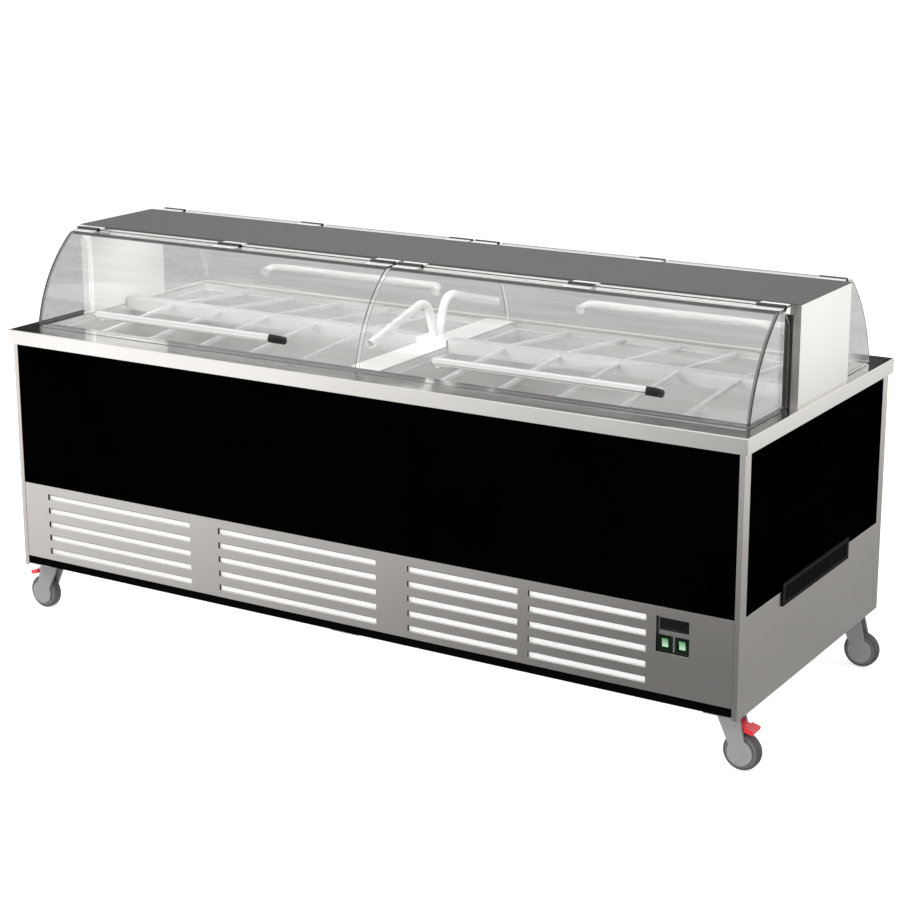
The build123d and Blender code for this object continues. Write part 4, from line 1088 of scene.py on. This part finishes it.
# the right column's front gets a painted shade
mark(columns, 2, lambda face: face.center.x > 0 and face.normal.y < facing_front)
settle(
    columns, "counter", "polished_steel", ["columns"],
    "polished_steel", "column_steel", "shaded_steel",
)
print("columns:", len(columns.data.polygons), "faces")

# %% [markdown]
# ## Wheels
# A castor wheel is a grey tyre moulded on a plastic body with a sunk web and a hub. Turned pieces like
# this one grow ring by ring: a circle is pulled along the axle and resized through a list of radii,
# like a profile on a lathe. The profile is written for one half and mirrored for the other.

# %% First wheel
def middle_of(node):
    """Middle of a frame piece's box."""
    low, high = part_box(node)
    return (low + high) / 2


axle = middle_of("castor_wheel_front_left")
half_profile = [
    (0.00505, 0.014), (0.012, 0.014), (0.014, 0.012), (0.014, 0.010), (0.036, 0.010), (0.0385, 0.0115),
    (0.0395, 0.0138), (0.0405, 0.0138), (0.0407, 0.013), (0.0413, 0.013), (0.0416, 0.014), (0.044, 0.014),
    (0.047, 0.0128), (0.0492, 0.0098), (0.05, 0.006),
]
profile = [(r, -y) for r, y in half_profile] + [(r, y) for r, y in reversed(half_profile)]
wheel_points = 56
tyre_inside = 0.041
radius, beside = profile[0]
wheel = open_ring(
    "castor_wheel_piece_front_left", axle + Vector((0, beside, 0)), upright, radius, wheel_points
)
for next_radius, next_beside in profile[1:] + profile[:1]:
    pull((0, next_beside - beside, 0))
    grow = next_radius / radius
    bpy.ops.transform.resize(value=(grow, 1, grow), center_override=axle)
    radius, beside = next_radius, next_beside
weld()
turn_out()
close()
print("wheel:", len(wheel.data.polygons), "faces")

# %% Four wheels
def on_body(face):
    """True for a face of the wheel's body, inside the tyre."""
    off = face.center - axle
    return math.hypot(off.x, off.z) <= tyre_inside


body_faces = mark(wheel, 1, on_body)
for place in corners:
    settle(
        at_corner(wheel, "castor_wheel_piece_", place), "wheel_" + place, "wheel_rubber",
        ["castor_wheel_" + place], "wheel_rubber", "castor_zinc",
    )
print("wheels:", len(corners), "with", body_faces, "body faces each")

# %% [markdown]
# ## Rounded edges on the smaller pieces
# Bars, spines, forks, rails and trims are folded or cast, so none of them has a knife edge. A copy of
# the frame's piece has its loose triangles merged, its flat faces made whole, and its edges rounded
# with a bevel.

# %% Rounded copies
flat_within = math.radians(1)


def merged(node, name):
    """Copy of a frame piece with its triangles merged into whole faces, open in edit mode."""
    piece = bpy.data.objects.new(name, nodes[node].data.copy())
    bpy.context.scene.collection.objects.link(piece)
    take(piece)
    bpy.ops.object.mode_set(mode="EDIT")
    bpy.ops.mesh.select_all(action="SELECT")
    bpy.ops.mesh.remove_doubles(threshold=same_point)
    bpy.ops.mesh.dissolve_limited(angle_limit=flat_within)
    return piece


def carrier(node):
    """Name of the body that carries a frame piece."""
    return nodes[node].parent.name.split(":")[1]


def rounded(node, name, width, segments=2):
    """Copy of a frame piece with rounded edges, which stands in for it."""
    piece = merged(node, name)
    soften(piece, width, segments)
    settle(piece, carrier(node), slots[node], [node])
    return piece


small_edges = {
    "well_spines": 0.0015, "pan_bars": 0.0012, "centre_bridge": 0.0008, "hinge_rails": 0.0008,
    "corner_posts": 0.0008, "black_panels": 0.0006, "end_lower_panels": 0.0005, "rear_lower_panel": 0.0005,
    "plinth_strips": 0.0006, "end_grille": 0.0005, "control_bezel": 0.0005, "column_seals": 0.0008,
    "castor_plates": 0.0008,
}
# the centre bridge gets the paler steel, a painted light
other_finish = {
    "well_spines": "well_steel", "pan_bars": "pale_steel", "centre_bridge": "white_steel",
    "control_bezel": "satin_steel",
}
fork_edge = 0.0012
pedal_edge = 0.002
for node, width in small_edges.items():
    piece = rounded(node, "rounded_" + node, width)
    piece.data.materials[0] = finishes[other_finish.get(node, slots[node])]
for place in corners:
    rounded("castor_fork_" + place, "rounded_fork_" + place, fork_edge)
for place in ("front_left", "front_right"):
    rounded("brake_pedal_" + place, "rounded_brake_pedal_" + place, pedal_edge, 3)
print("rounded copies:", len(small_edges) + len(corners) + 2)

# %% [markdown]
# ## Niche walls
# The controls sit in a niche. Its back plate is satin steel, and its walls get black plastic, a painted
# shade for the recess, so the faces that do not look to the front or the rear get a second finish.

# %% Niche walls
niche = bpy.data.objects["rounded_control_bezel"]
niche.data.materials.append(finishes["black_plastic"])
facing_sideways = 0.5
# the niche walls get a painted shade
walls = mark(niche, 1, lambda face: abs(face.normal.y) < facing_sideways)
print("niche wall faces:", walls)

# %% [markdown]
# ## Hinges
# The leaves are pale steel and the barrel between them is painted dark, a painted shade for the shade
# in the rolled barrel. After the edges are rounded, the faces that lie close to the hinge axis, above or
# below the leaves, get the dark finish.

# %% Hinge leaves
hinge_y = 0.204
hinge_z = 1.134
barrel_radius = 0.0055
leaf_half = 0.0012
leaf_edge = 0.0004


def on_barrel(face):
    """True for a face of the rolled barrel, above or below the flat leaves."""
    rise = face.center.z - hinge_z
    return math.hypot(abs(face.center.y) - hinge_y, rise) < barrel_radius and abs(rise) > leaf_half


for node in ["hinge_fixed_leaves"] + ["hinge_leaves_" + place for place in corners]:
    leaves = merged(node, "worn_" + node)
    soften(leaves, leaf_edge)
    # the barrel faces get a painted shade
    barrel = mark(leaves, 1, on_barrel)
    settle(leaves, carrier(node), "bright_steel", [node], "pale_steel", "dark_steel")
    print(node, "faces:", len(leaves.data.polygons), "of the barrel:", barrel)

# %% [markdown]
# A dark sleeve, a painted shade like the barrel's, covers each barrel and makes it read from afar. A
# sleeve is a long block with rounded edges, and its ends lie flush with the ends of its pin. A loop
# makes one at each hinge of the two hinge lines.

# %% Hinge sleeves
sleeve_places = (-1.095, -0.5695, -0.044, 0.044, 0.5695, 1.095)
sleeve_reach = 0.038
sleeve_half = 0.008
sleeve_round = 0.0064
sleeves = []
for y in (-hinge_y, hinge_y):
    for x in sleeve_places:
        sleeve = open_cube(
            "hinge_barrels",
            (x - sleeve_reach, y - sleeve_half, hinge_z - sleeve_half),
            (x + sleeve_reach, y + sleeve_half, hinge_z + sleeve_half),
        )
        pick("EDGE", lambda at, reach: reach.x > sleeve_reach)
        round_off(sleeve_round)
        close()
        sleeves.append(sleeve)
# the sleeves get a painted shade
settle(joined(*sleeves), "counter", "bright_steel", [], "dark_steel")
print("hinge sleeves:", len(sleeves))

# %% [markdown]
# ## Switches
# A switch key is dark green at its rim and lit from behind in the middle, brighter towards the bottom.
# The window could be a separate lens; here it is inset into the two slanted faces of the key, so that
# it rocks with it.

# %% Lit plastic
def lit_window(name, dim, bright, low, high):
    """Lit plastic that runs from dim to bright down its height."""
    material, tree, shader = finish(name)
    height = levels(tree, place_along(tree, "Z"), high, low)
    colour = colour_between(tree, shader, height, dim, bright)
    lit = {"Emission Color": colour, "Emission Strength": window_glow, "Roughness": window_rough}
    wire(tree, shader, lit)
    return material


low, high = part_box("rocker_left")
window_glow = 0.25
window_rough = 0.25
window_rim = 0.0035
window_dim = (0.06, 0.2, 0.08)
window_bright = (0.4, 0.62, 0.42)
finishes["green_window"] = lit_window(
    "green_window", window_dim, window_bright, low.z + window_rim, high.z - window_rim
)
print("finishes:", len(finishes))

# %% Switches
window_half = (0.0088, 0.0118)
window_sink = 0.0004
key_edge = 0.0004
key_front = 0.003
broad = 0.02
tall = 0.01
for side in ("left", "right"):
    node = "rocker_" + side
    middle = middle_of(node)
    key = merged(node, "lit_rocker_" + side)
    key_face = middle.y - key_front
    found = pick("FACE", lambda at, reach: at.y < key_face and reach.x > broad and reach.z > tall)
    bpy.ops.mesh.inset(thickness=window_rim, depth=-window_sink)
    close()
    for face in key.data.polygons:
        off = face.center - middle
        in_window = abs(off.x) < window_half[0] and abs(off.z) < window_half[1] and off.y < -key_front
        face.material_index = 1 if in_window else 0
    soften(key, key_edge)
    settle(key, carrier(node), "switch_green", [node], "switch_green", "green_window")
    print("switch key", side, "front faces", found)

# %% [markdown]
# ## Switch frames
# Each key sits in a thin dark green frame on the niche's back plate. A frame is an upright plane with a
# pocket taken out of its middle and given its thickness; the second one is a copy.

# %% Switch frames
plate_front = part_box("controller")[0].y
frame_half = (0.020, 0.0225)
frame_trim = 0.004
frame_depth = 0.0015
frame_edge = 0.0004
pocket_half = (0.013, 0.016)
middle = middle_of("rocker_left")
step = middle_of("rocker_right") - middle
switch_frame = open_wall(
    "switch_frame_left",
    (middle.x - frame_half[0], plate_front, middle.z - frame_half[1]),
    (middle.x + frame_half[0], plate_front, middle.z + frame_half[1] - frame_trim),
)
cut("X", middle.x - pocket_half[0], middle.x + pocket_half[0])
cut("Z", middle.z - pocket_half[1], middle.z + pocket_half[1])
pick("FACE", lambda at, reach: near(at.x, middle.x) and near(at.z, middle.z))
bpy.ops.mesh.delete(type="FACE")
face_out(lambda at: True, (0, -1, 0))
modify(switch_frame, "SOLIDIFY", thickness=frame_depth, offset=1)
soften(switch_frame, frame_edge)
for piece in (switch_frame, copied(switch_frame, "switch_frame_right", move=(step.x, 0, step.z))):
    settle(piece, "counter", "switch_green", [])
    print(piece.name, "faces:", len(piece.data.polygons))

# %% [markdown]
# ## Display
# The display is a black frame with a sunk, glossy screen. Two insets on its front face make both: the
# first leaves the frame, the second pushes the screen in.

# %% Display
bezel = 0.004
screen_sink = 0.0008
display_edge = 0.0006
wide = 0.05
display = merged("controller", "framed_display")
pick("FACE", lambda at, reach: near(at.y, plate_front) and reach.x > wide)
bpy.ops.mesh.inset(thickness=bezel)
bpy.ops.mesh.inset(thickness=screen_sink, depth=-screen_sink)
soften(display, display_edge)
settle(display, carrier("controller"), "display_black", ["controller"])
print("display:", len(display.data.polygons), "faces")
